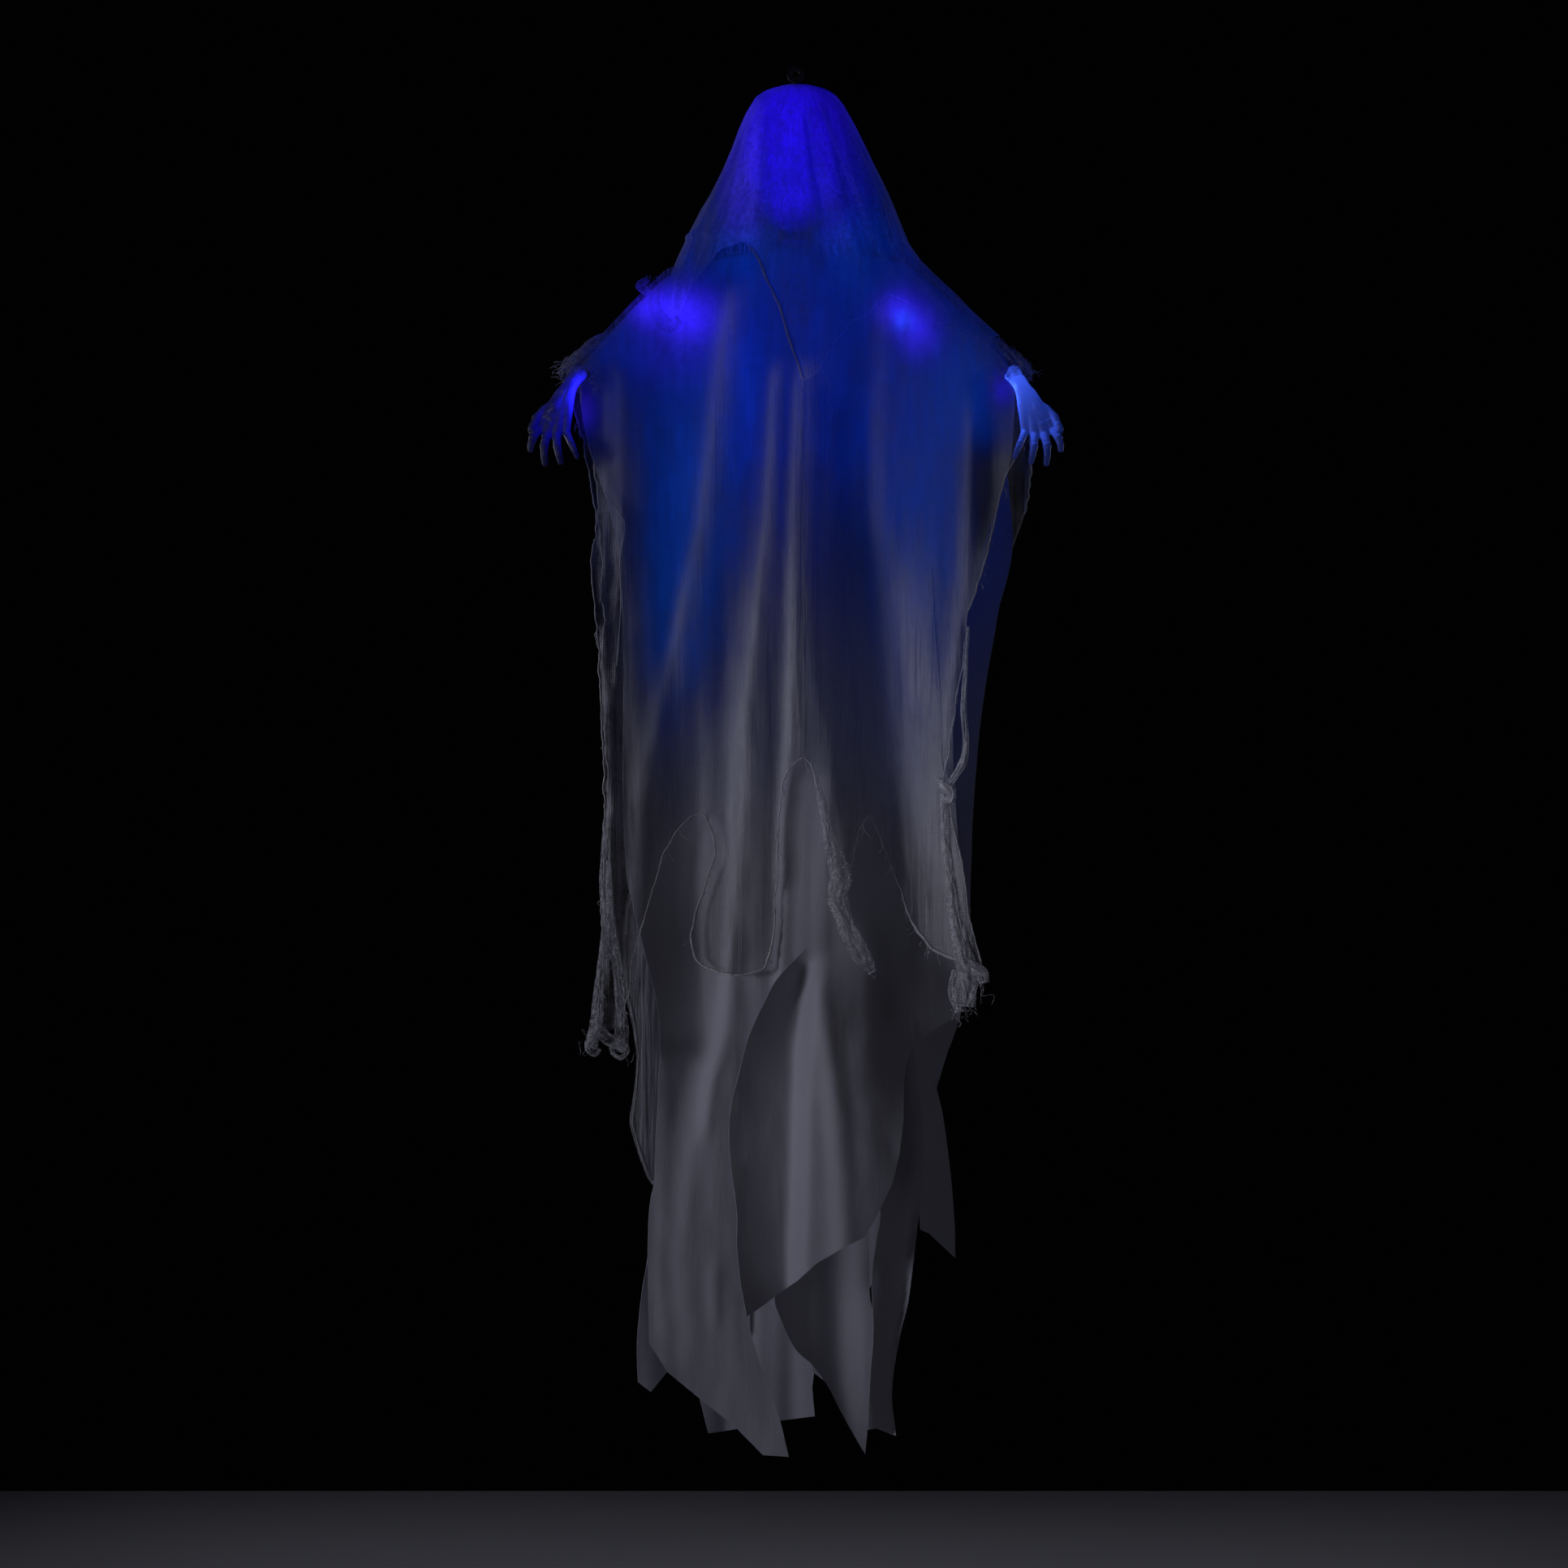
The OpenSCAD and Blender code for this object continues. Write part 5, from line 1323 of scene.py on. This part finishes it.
def veil_point(th, py):
    """World points of the veil at angle th (degrees) and picture height py."""
    a = np.where(th < 0, np.interp(py, *zip(*V_L)), np.interp(py, *zip(*V_R)))
    back = np.abs(th) > 90
    # Behind, the cloth does not reach out along the arms
    a = np.where(back, np.minimum(a, np.interp(py, *zip(*V_L)) + (a - np.interp(py, *zip(*V_L))) * np.clip(1 - (np.abs(th) - 90) / 50, 0, 1)), a)
    b = np.interp(py, *zip(*V_B))
    r = np.radians(th)
    seed = 150
    lat = np.sin(r)
    amp = s01((py - 150) / 160)
    # Folds run from the crown down over the shoulders
    k = 0.0045 * amp * (pnoise(th / 13 + 0.4 * pnoise(th / 30, py / 90, seed + 5), py / 260, seed) + 0.5 * pnoise(th / 6, py / 160, seed + 1))
    k = k + 0.0010 * (pnoise(th / 4, py / 40, seed + 2))
    k = k + 0.0075 * veil_bands(th, py)
    k = k - 0.0050 * np.exp(-((th - 8 - (py - 135) * 0.055) / 2.6) ** 2) * s01((py - 125) / 30) * s01((290 - py) / 50)
    k = k - 0.0060 * np.exp(-((th - 25 - (py - 128) * 0.09) / 2.6) ** 2) * s01((py - 118) / 30) * s01((275 - py) / 50)
    k = k + 0.004 * amp * np.exp(-((th + 38 - (py - 200) * 0.03) / 5) ** 2) + 0.005 * amp * np.exp(-((th - 22 - (py - 200) * 0.02) / 6) ** 2)
    # The tuck that crosses the left side
    k = k + 0.006 * np.exp(-((py - (292 - 6 * np.cos((th + 60) / 14))) / 5) ** 2) * s01((-28 - th) / 8) * s01((th + 88) / 10)
    y0 = -b * np.sign(np.cos(r)) * np.abs(np.cos(r)) ** 0.85
    px = 982 + a * np.sign(lat) * np.abs(lat) ** 0.92
    y = y0
    for _ in range(3):
        x, z = unproject(px, py, y)
        reach = s01((py - 300) / 60)
        y = y0 + (centre_y(x, z)) * reach
    x, z = unproject(px, py, y)
    n = np.stack([np.sin(r), -np.cos(r), 0 * r], 1)
    return np.stack([x, y, z], 1) + n * k[:, None]


def veil_bands(th, py):
    """Standing folds of the veil, as the angle round the head."""
    def band(c, w, y0, y1):
        return np.exp(-((th - c) / w) ** 2) * s01((py - y0) / 40) * s01((y1 - py) / 60)
    q = band(-36 - (py - 200) * 0.02, 5.0, 108, 460) + 0.7 * band(-50, 4.0, 120, 420) + 0.8 * band(17 + (py - 200) * 0.10, 4.5, 170, 380)
    q = q + 0.5 * band(-24, 2.2, 150, 330) + 0.5 * band(38 + (py - 200) * 0.05, 3.0, 190, 400) + 0.5 * band(56, 4.0, 150, 420) + 0.4 * band(-68, 4.0, 150, 420)
    return q


def veil_grid(ths, nv=120):
    vs = np.linspace(0, 1, nv) ** 0.9
    T, V = np.meshgrid(ths, vs)
    hem = np.interp(T, *zip(*V_HEM)) + 1.8 * (pnoise(T / 3.0, T * 0 + 0.5, 170) + 0.6 * pnoise(T / 1.3, T * 0 + 0.5, 171)) * s01(np.abs(T) / 3) * s01((180 - np.abs(T)) / 6)
    return T, 104.5 + (hem - 104.5) * V


def make_veil(side):
    sg = 1 if side == "right" else -1
    b = Build()
    half = np.concatenate([np.arange(0, 100, 1.0), np.arange(100, 180, 2.0), [180.0]])
    ths = half if sg > 0 else -half[::-1]
    nv = 130
    T, PY = veil_grid(ths, nv)
    co = veil_point(T.ravel(), PY.ravel())
    n = len(ths)
    f = [(i * n + j, (i + 1) * n + j, (i + 1) * n + j + 1, i * n + j + 1) for i in range(nv - 1) for j in range(n - 1)]
    uv = np.stack([T.ravel() * 0.0026, PY.ravel() * K], 1)
    x, z = unproject(982, 103.2, 0.0)
    co, uv = np.vstack([co, [x, 0.0, z]]), np.vstack([uv, [0, 0.1]])
    f += [(n * nv, j, j + 1) for j in range(n - 1)]
    tt, pp = np.concatenate([T.ravel(), [0.0]]), np.concatenate([PY.ravel(), [104]])
    den = 1.70 - (0.95 + 0.55 * s01((tt + 2) / 12) * s01((80 - tt) / 20)) * s01((pp - 268) / 70) + veil_bands(tt, pp) * 0.42 + 0.22 * pnoise(tt / 1.5, pp / 110, 177) + 0.14 * pnoise(tt / 0.8, pp / 50, 178)
    b.add(co, f, uv, den, 0)
    line = co[(nv - 1) * n:nv * n]
    # The hem is rolled thick where it runs down to its point, and thin elsewhere
    thickest = s01((ths + 27) / 6) * s01((3 - ths) / 3)
    rr = (0.0006 + 0.0015 * thickest + 0.0005 * s01((ths - 3) / 3) * s01((58 - ths) / 6)) * (1 + 0.5 * pnoise(np.arange(n) * 0.33, np.zeros(n) + 0.5, 173 + sg))
    v, ff, u2 = tube(line - np.array([0, 0.0012, 0]), rr, 8)
    b.add(v, ff, u2, 1.0, 1, np.repeat(1 - 0.65 * thickest, 8))
    rng = np.random.RandomState(172 + sg)
    for i in rng.choice(n, 26, replace=False):
        t = np.linspace(0, 1, 7)
        ln, w, ph = 0.006 + 0.016 * rng.rand(), 0.004 * rng.rand(), rng.rand() * 6
        p0 = line[i]
        v, ff, u2 = tube(np.stack([p0[0] + w * np.sin(ph + 5 * t) * t, p0[1] - 0.002 * t, p0[2] - ln * t], 1), 0.0004, 4)
        b.add(v, ff, u2, 1.0, 1)
    if sg > 0:
        # One long loose thread by the point of the hem
        p0 = veil_point(np.array([5.0, 5.5]), np.array([452.0, 455.0]))[0]
        pts = p0 + np.array([(0, 0, 0), (.006, -.003, -.012), (.012, -.004, -.028), (.009, -.004, -.042), (.016, -.005, -.056), (.012, -.004, -.072)])
        v, ff, u2 = tube(spline(pts, 40), 0.0006, 5)
        b.add(v, ff, u2, 1.0, 1)
    o = b.make("veil_" + side + "_cloth", [VEIL, HEM], 1.0, behind=0.7, more=head_glow)
    # Along the middle the two halves share their normals, so no line shows between them
    me = o.data
    nm = np.array([q.vector[:] for q in me.vertex_normals])
    for j in (0, n - 1):
        for i in range(nv):
            k = i * n + j
            q = np.array([0.0, nm[k][1], nm[k][2]])
            nm[k] = q / max(np.linalg.norm(q), 1e-9)
    me.normals_split_custom_set_from_vertices([tuple(q) for q in nm])
    return o


for side in ("left", "right"):
    finish_cloth(make_veil(side), ["veil"], side, (0.36, 0.80))

vt = np.array([unproject(812, 352, -.09) + (-.09,), unproject(806, 372, -.10) + (-.10,), unproject(812, 390, -.10) + (-.10,),
               unproject(824, 402, -.10) + (-.10,), unproject(836, 394, -.105) + (-.105,)])[:, [0, 2, 1]]
vs2 = np.array([unproject(798, 344, -.075) + (-.075,), unproject(790, 352, -.08) + (-.08,), unproject(800, 362, -.085) + (-.085,)])[:, [0, 2, 1]]
tail("veil_corner_left", [("mouth", vt, [.003, .007, .010, .009, .005], .6, .5), ("mouth", vs2, [.003, .007, .005], .6, .5)], "left", 151,
     [(vs2[0], 8, .014), (vt[3], 5, .012)], flat=(0.06, 0.10))

# Cuffs ----------------------------------------------------------------------------------------------------------------
W = np.array([0.270, -0.120, -0.398])
A = np.array([0.153969, -0.0219456, -0.285])
U = (W - A) / np.linalg.norm(W - A)
DN = np.array([0, 0, -1]) + U[2] * U
DN = DN / np.linalg.norm(DN)


def cuff(side):
    sx = 1 if side == "right" else -1
    b = Build()
    m = np.array([sx, 1, 1])
    path = np.array([W - 0.046 * U, W - 0.030 * U, W - 0.012 * U + 0.003 * DN, W + 0.006 * U + 0.004 * DN, W + 0.022 * U + 0.006 * DN, W + 0.030 * U + 0.008 * DN])
    v, f, uv = rope(path * m, [.019, .0245, .0265, .0262, .0262, .0258], 7, 0.8, sides=72, seed=161 + sx, n=44, base=0.98, deep=0.04, rough=0.12)
    b.add(v, f, uv, 0.9, 0)
    v, f, uv = rope(path[2:] * m, [.027, .0285, .0285, .0272], 9, 1.2, sides=72, seed=165 + sx, n=34, base=0.97, deep=0.05, rough=0.14)
    b.add(v, f, uv, 0.8, 0)
    rng = np.random.RandomState(167 + sx)
    for _ in range(26):
        a = rng.rand() * 6.28
        side_v = np.cross(U, DN)
        out = math.cos(a) * DN + math.sin(a) * side_v
        p0 = (W + 0.026 * U + 0.006 * DN + 0.0262 * out) * m
        t = np.linspace(0, 1, 6)[:, None]
        d = (U * 0.45 + out * 0.75 + np.array([0, 0, -0.35]) + rng.randn(3) * 0.25) * m
        path2 = p0 + d / np.linalg.norm(d) * (0.006 + 0.014 * rng.rand()) * t + rng.randn(3) * 0.002 * np.sin(4 * t)
        v, f, uv = tube(path2, 0.00045, 4)
        b.add(v, f, uv, 1.0, 0)
    o = b.make(side + "_cuff_cloth", [BUNCH], 0.6)
    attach(o, side + "_arm")
    declare(o, (0.16, 0.10))
    return o


cuff("left")
cuff("right")

# ------------------------------------------------------------------ hands


def hand_material():
    m, nt, b = material("hand_vinyl")
    L = nt.links.new
    co = node(nt, "ShaderNodeTexCoord")
    n1 = node(nt, "ShaderNodeTexNoise", in_Scale=90.0, in_Detail=5.0, in_Roughness=0.6)
    L(co.outputs["Object"], n1.inputs["Vector"])
    # The vinyl's colour is painted dark blue: painted shade, with painted blue lamp light.
    col = ramp(nt, [(0.30, (0.040, 0.044, 0.085)), (0.70, (0.085, 0.09, 0.15))])
    L(n1.outputs[0], col.inputs[0])
    L(col.outputs[0], b.inputs["Base Color"])
    b.inputs["Roughness"].default_value = 0.48
    b.inputs["Subsurface Weight"].default_value = 0.15
    b.inputs["Subsurface Radius"].default_value = (0.003, 0.003, 0.006)
    b.inputs["Subsurface Scale"].default_value = 1.0
    vor = node(nt, "ShaderNodeTexVoronoi", in_Scale=900.0)
    L(co.outputs["Object"], vor.inputs["Vector"])
    b1 = node(nt, "ShaderNodeBump")
    b1.inputs["Strength"].default_value = 0.12
    b1.inputs["Distance"].default_value = 0.0003
    L(vor.outputs["Distance"], b1.inputs["Height"])
    n2 = node(nt, "ShaderNodeTexNoise", in_Scale=240.0, in_Detail=3.0)
    L(co.outputs["Object"], n2.inputs["Vector"])
    b2 = node(nt, "ShaderNodeBump")
    b2.inputs["Strength"].default_value = 0.25
    b2.inputs["Distance"].default_value = 0.0006
    L(n2.outputs[0], b2.inputs["Height"])
    L(b1.outputs[0], b2.inputs["Normal"])
    L(b2.outputs[0], b.inputs["Normal"])
    gl = node(nt, "ShaderNodeAttribute", attribute_name="glow")
    L(gl.outputs["Color"], b.inputs["Emission Color"])
    b.inputs["Emission Strength"].default_value = 1.0
    return m


HAND = hand_material()
NAIL = solid_material("nail", (0.50, 0.50, 0.56), (0.60, 0.60, 0.66), (0.22, 0.3), 120, 0.04)

mm = 0.001
FINGERS = [
    [(333, -150, -484), (340, -168, -497), (342.5, -170, -505), (343, -168, -512), (6.4, 5.0, 4.6, 3.9)],
    [(322, -153, -489), (325, -173, -508), (325, -176, -519), (324, -171, -530), (6.6, 5.2, 4.8, 4.0)],
    [(310, -153, -490), (308, -174, -509), (306, -177, -519), (304, -172, -528), (6.4, 5.0, 4.6, 3.9)],
    [(298, -150, -486), (290, -169, -504), (286, -172, -513), (283, -168, -521), (5.6, 4.4, 4.0, 3.4)],
]
THUMB = [(308, -138, -448), (326, -144, -458), (336, -151, -468), (343, -160, -485), (9.0, 6.2, 5.4, 4.2)]


def ball_chain(b, pts, radii, seg=14):
    """Closed rounded bars that overlap at the joints."""
    p = [np.array(q, float) * mm for q in pts]
    for i in range(len(p) - 1):
        a, c, ra, rc = p[i], p[i + 1], radii[i] * mm, radii[i + 1] * mm
        d = c - a
        ln = np.linalg.norm(d)
        d = d / ln
        ref = np.array([0, 0, 1.0]) if abs(d[2]) < 0.9 else np.array([1.0, 0, 0])
        e = np.cross(d, ref)
        e /= np.linalg.norm(e)
        g = np.cross(d, e)
        rings = []
        for k in range(1, 6):
            t = -math.pi / 2 + k * math.pi / 12
            rings.append((a + d * ra * math.sin(t), ra * math.cos(t)))
        rings.append((a, ra))
        for k in range(1, 6):
            f = k / 6
            rings.append((a + d * ln * f, ra + (rc - ra) * f - 0.06 * min(ra, rc) * math.sin(math.pi * f)))
        rings.append((c, rc))
        for k in range(1, 6):
            t = k * math.pi / 12
            rings.append((c + d * rc * math.sin(t), rc * math.cos(t)))
        v = [a - d * ra]
        for cpos, r in rings:
            for s in range(seg):
                t = 2 * math.pi * s / seg
                v.append(cpos + r * (math.cos(t) * e + math.sin(t) * g))
        v.append(c + d * rc)
        f = []
        for s in range(seg):
            f.append((0, 1 + (s + 1) % seg, 1 + s))
        n = len(rings)
        for r in range(n - 1):
            for s in range(seg):
                q0, q1 = 1 + r * seg + s, 1 + r * seg + (s + 1) % seg
                f.append((q0, q1, q1 + seg, q0 + seg))
        last = 1 + (n - 1) * seg
        for s in range(seg):
            f.append((last + seg, last + s, last + (s + 1) % seg))
        b.add(np.array(v), f)


def hand(side):
    sx = 1 if side == "right" else -1
    b = Build()
    hs = (W + 0.0192 * U) / mm
    # Wrist and heel of the hand
    ball_chain(b, [hs, hs + (9, -4, -12), (300, -138, -436), (305, -143, -456)], (11.2, 10.4, 11.0, 11.5))
    ball_chain(b, [hs + (3, 3, 2), (294, -140, -432), (297, -144, -452), FINGERS[3][0]], (9.5, 9.2, 9.4, 6.0))
    ball_chain(b, [(300, -139, -436), (306, -145, -462), FINGERS[2][0]], (10.5, 9.6, 7.0))
    ball_chain(b, [(303, -138, -438), (314, -146, -464), FINGERS[1][0]], (10.5, 9.4, 7.2))
    ball_chain(b, [(305, -137, -440), (321, -144, -462), FINGERS[0][0]], (10.0, 9.0, 7.0))
    # Ball of the thumb and the web beside it
    ball_chain(b, [(302, -141, -440), (313, -148, -456), (322, -148, -468)], (8.5, 9.0, 7.2))
    for f in FINGERS:
        ball_chain(b, f[:4], f[4])
        # Pads on the palm side
        for i in (0, 1, 2):
            a, c = np.array(f[i], float), np.array(f[i + 1], float)
            mid = (a + c) / 2 + np.array([0, -0.9, 0.6])
            r = (f[4][i] + f[4][i + 1]) / 2 * 0.92
            ball_chain(b, [mid + (a - mid) * 0.35, mid + (c - mid) * 0.35], (r, r))
        # Knuckle of the middle joint on the back
        kn = np.array(f[1], float) + np.array([0, 0.8, 0.4])
        ball_chain(b, [kn + (0.6, 0, 0.8), kn - (0.6, 0, 0.8)], (f[4][1] * 1.04, f[4][1] * 1.02))
    ball_chain(b, THUMB[:4], THUMB[4])
    tip = np.array(THUMB[3], float)
    ball_chain(b, [tip + (-2.6, 2.6, 6.0), tip + (-0.6, 0.2, 1.5)], (5.0, 4.6))
    o = b.make(side + "_hand_raw", [HAND], 0)
    md = o.modifiers.new("one", "REMESH")
    md.mode = "VOXEL"
    md.voxel_size = 0.0011
    sm = o.modifiers.new("soft", "SMOOTH")
    sm.factor = 0.5
    sm.iterations = 9
    dg = bpy.context.evaluated_depsgraph_get()
    me = bpy.data.meshes.new_from_object(o.evaluated_get(dg))
    bpy.data.objects.remove(o)
    n = len(me.vertices)
    v = np.zeros(n * 3)
    me.vertices.foreach_get("co", v)
    v = v.reshape(-1, 3)
    nm = np.zeros(n * 3)
    me.vertices.foreach_get("normal", nm)
    nm = nm.reshape(-1, 3)

    def groove(path, w, depth, only_palm=True):
        p = np.array(path, float) * mm
        best = np.full(n, 1e9)
        for a, c in zip(p[:-1], p[1:]):
            d = c - a
            t = np.clip(((v - a) @ d) / (d @ d), 0, 1)
            best = np.minimum(best, np.linalg.norm(v - (a + t[:, None] * d), axis=1))
        g = np.exp(-(best / (w * mm)) ** 2) * depth * mm
        if only_palm:
            g = g * s01((-nm[:, 1] + 0.1) / 0.5)
        return g

    cut_in = np.zeros(n)
    # Palm lines, finger creases
    cut_in += groove([(296, -152, -466), (306, -157, -474), (318, -157, -474), (330, -152, -468)], 1.3, 1.0)
    cut_in += groove([(298, -153, -458), (308, -157, -464), (322, -154, -462)], 1.2, 0.8)
    cut_in += groove([(322, -153, -456), (313, -157, -452), (306, -154, -444), (303, -150, -436)], 1.3, 1.0)
    for f in FINGERS:
        for i, dep in ((0, 0.9), (1, 0.8), (2, 0.6)):
            q = np.array(f[i], float)
            q2 = np.array(f[i + 1], float)
            r = f[4][i]
            c = q + (q2 - q) * (0.45 if i == 0 else 0.0) + np.array([0, -r, 0])
            cut_in += groove([c - (r, 0, 0), c, c + (r, 0, 0)], 0.9, dep)
    # Cords of the wrist and bones of the back of the hand
    out = groove([hs + (-1, -9, -4), (297, -150, -438), (301, -152, -452)], 1.8, 0.7)
    out = out + groove([hs + (4, -9, -4), (303, -150, -438)], 1.8, 0.6)
    for f in FINGERS:
        k = np.array(f[0], float)
        line = [(303, -128, -442), k + (0, 6.5, 2)]
        out = out + groove(line, 1.9, 0.9, False) * s01((nm[:, 1] - 0.1) / 0.4)
    v = v + nm * (out - cut_in)[:, None]
    v = v * np.array([sx, 1, 1])
    faces = [list(p.vertices) if sx > 0 else list(p.vertices)[::-1] for p in me.polygons]
    bpy.data.meshes.remove(me)
    bb = Build()
    bb.add(v, faces, None, 1.0, 0)
    # Nails on the back of each finger end
    for f in FINGERS + [THUMB]:
        a, t = np.array(f[2], float) * mm, np.array(f[3], float) * mm
        d = (t - a) / np.linalg.norm(t - a)
        up = np.array([0.0, 1.0, 0.25])
        up = up - (up @ d) * d
        up /= np.linalg.norm(up)
        sd = np.cross(d, up)
        r = f[4][3] * mm
        c = t - d * r * 0.10 + up * r * 0.93
        vv, ff = [], []
        nu, nv_ = 9, 9
        for i in range(nv_):
            for j in range(nu):
                x, y = (j / (nu - 1) - .5) * 2, (i / (nv_ - 1) - .5) * 2
                wid = r * 0.78 * (1 - 0.28 * max(0, y) ** 2 - 0.10 * max(0, -y) ** 2)
                vv.append((c + sd * wid * x + d * r * 1.05 * y + up * (0.22 * r * (1 - x * x) - 0.34 * r * x * x - 0.10 * r * y * y)) * np.array([sx, 1, 1]))
        for i in range(nv_ - 1):
            for j in range(nu - 1):
                q = (i * nu + j, i * nu + j + 1, (i + 1) * nu + j + 1, (i + 1) * nu + j)
                ff.append(q if sx > 0 else q[::-1])
        # A thin closed plate
        lo = [p - up * np.array([sx, 1, 1]) * 0.0006 for p in vv]
        cnt = len(vv)
        ff2 = [tuple(x + cnt for x in q[::-1]) for q in ff]
        ring = [j for j in range(nu)] + [i * nu + nu - 1 for i in range(1, nv_)] + [(nv_ - 1) * nu + j for j in range(nu - 2, -1, -1)] + \
               [i * nu for i in range(nv_ - 2, 0, -1)]
        walls = [(ring[k], ring[(k + 1) % len(ring)], ring[(k + 1) % len(ring)] + cnt, ring[k] + cnt) for k in range(len(ring))]
        walls = [w_[::-1] if sx > 0 else w_ for w_ in walls]
        bb.add(np.array(vv + lo), ff + ff2 + walls, None, 1.0, 1)
    o = bb.make(side + "_hand_skin", [HAND, NAIL], 0)
    # Light of the wrist lamp across the palm
    lamp = (W + 0.002 * U + 0.020 * DN) * np.array([sx, 1, 1]) if sx > 0 else np.array([-0.266, -0.150, -0.436])
    co = np.zeros(len(o.data.vertices) * 3)
    o.data.vertices.foreach_get("co", co)
    co = co.reshape(-1, 3)
    no = np.zeros(len(o.data.vertices) * 3)
    o.data.vertices.foreach_get("normal", no)
    no = no.reshape(-1, 3)
    d = np.linalg.norm(co - lamp, axis=1)
    to = (lamp - co) / np.maximum(d, 1e-6)[:, None]
    lit = 0.14 + 0.86 * s01((np.sum(no * to, 1) + 0.3) / 1.1)
    palm = 0.30 + 0.70 * s01((-no[:, 1] + 0.1) / 0.9)
    if sx > 0:
        g = (9.00 * np.exp(-(d / 0.050) ** 2) + 1.90 * np.exp(-(d / 0.110) ** 2)) * lit * palm
        rgb = g[:, None] * np.array([0.045, 0.115, 1.0])
    else:
        g = (4.20 * np.exp(-(d / 0.026) ** 2) + 0.50 * np.exp(-(d / 0.080) ** 2)) * lit * palm
        rgb = g[:, None] * np.array([0.012, 0.010, 1.0])
    o.data.attributes["glow"].data.foreach_set("color", np.hstack([rgb, np.ones((len(co), 1))]).astype(np.float32).ravel())
    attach(o, side + "_hand")
    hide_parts(side + "_hand")
    return o


hand("left")
hand("right")

# ------------------------------------------------------------------ slack wire across each shoulder
T45 = A + 0.045 * U
LOOP = [(107, -15, -292), (108, -15.5, -300), (117, -19, -313), (138, -28, -325), (158, -34, -331)]
for side, sx in (("left", -1), ("right", 1)):
    pts = [np.array(p) * mm for p in LOOP] + [T45 + 0.015 * DN + 0.002 * np.array([-U[0], -U[1], 0]), T45 + 0.011 * DN, T45 + 0.007 * DN]
    pts = np.array(pts) * np.array([sx, 1, 1])
    b = Build()
    line = spline(pts, 70)
    v, f, uv = tube(line, 0.0011, 10)
    b.add(v, f, uv, 1.0, 0)
    o = b.make(side + "_slack_wire", [WIRE], 0)
    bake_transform(o)
    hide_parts(side + "_service_loop")

# ------------------------------------------------------------------ floor, light
fl = bpy.data.meshes.new("floor")
fl.from_pydata([(-1.7, -1.5, -2.12), (1.7, -1.5, -2.12), (1.7, 1.5, -2.12), (-1.7, 1.5, -2.12)], [], [(0, 1, 2, 3)])
floor = bpy.data.objects.new("floor", fl)
SCENE.collection.objects.link(floor)
fl.materials.append(solid_material("pale_floor", (0.74, 0.74, 0.74), (0.78, 0.78, 0.77), (0.6, 0.75), 3.0, 0.05))

world = bpy.data.worlds.new("world")
SCENE.world = world
world.use_nodes = True
world.node_tree.nodes["Background"].inputs[0].default_value = (0.0005, 0.0005, 0.0007, 1)
world.node_tree.nodes["Background"].inputs[1].default_value = 1.0


def area_light(name, loc, target, size, power, col=(1, 1, 1), beam=180):
    ld = bpy.data.lights.new(name, "AREA")
    ld.shape = "DISK"
    ld.size = size
    ld.energy = power
    ld.spread = math.radians(beam)
    ld.color = col
    o = bpy.data.objects.new(name, ld)
    o.location = loc
    o.rotation_euler = (Vector(target) - Vector(loc)).to_track_quat("-Z", "Y").to_euler()
    SCENE.collection.objects.link(o)
    return o


COOL = (0.92, 0.93, 1.12)
area_light("key", (-3.05, -2.15, -1.2), (0, 0, -1.39), 0.9, 0.66, COOL, beam=26)
area_light("front", (0.3, -3.8, -1.6), (0, 0, -1.40), 1.6, 0.11, COOL, beam=46)
area_light("right", (2.9, -1.7, -0.8), (0.12, 0, -1.40), 1.2, 0.08, COOL, beam=40)
area_light("wash", (-2.8, -2.5, -0.2), (0, 0, -0.42), 1.0, 0.27, COOL, beam=21)
area_light("side", (-3.25, -1.75, -0.8), (0.22, -0.10, -0.86), 0.4, 0.070, COOL, beam=9)
area_light("back_left", (-2.0, 2.6, -0.4), (0, 0, -0.95), 1.4, 2.3, COOL, beam=70)
area_light("back_right", (2.2, 2.4, -0.6), (0, 0, -0.95), 1.4, 1.1, COOL, beam=70)

SCENE.view_settings.view_transform = "Standard"
SCENE.view_settings.look = "None"
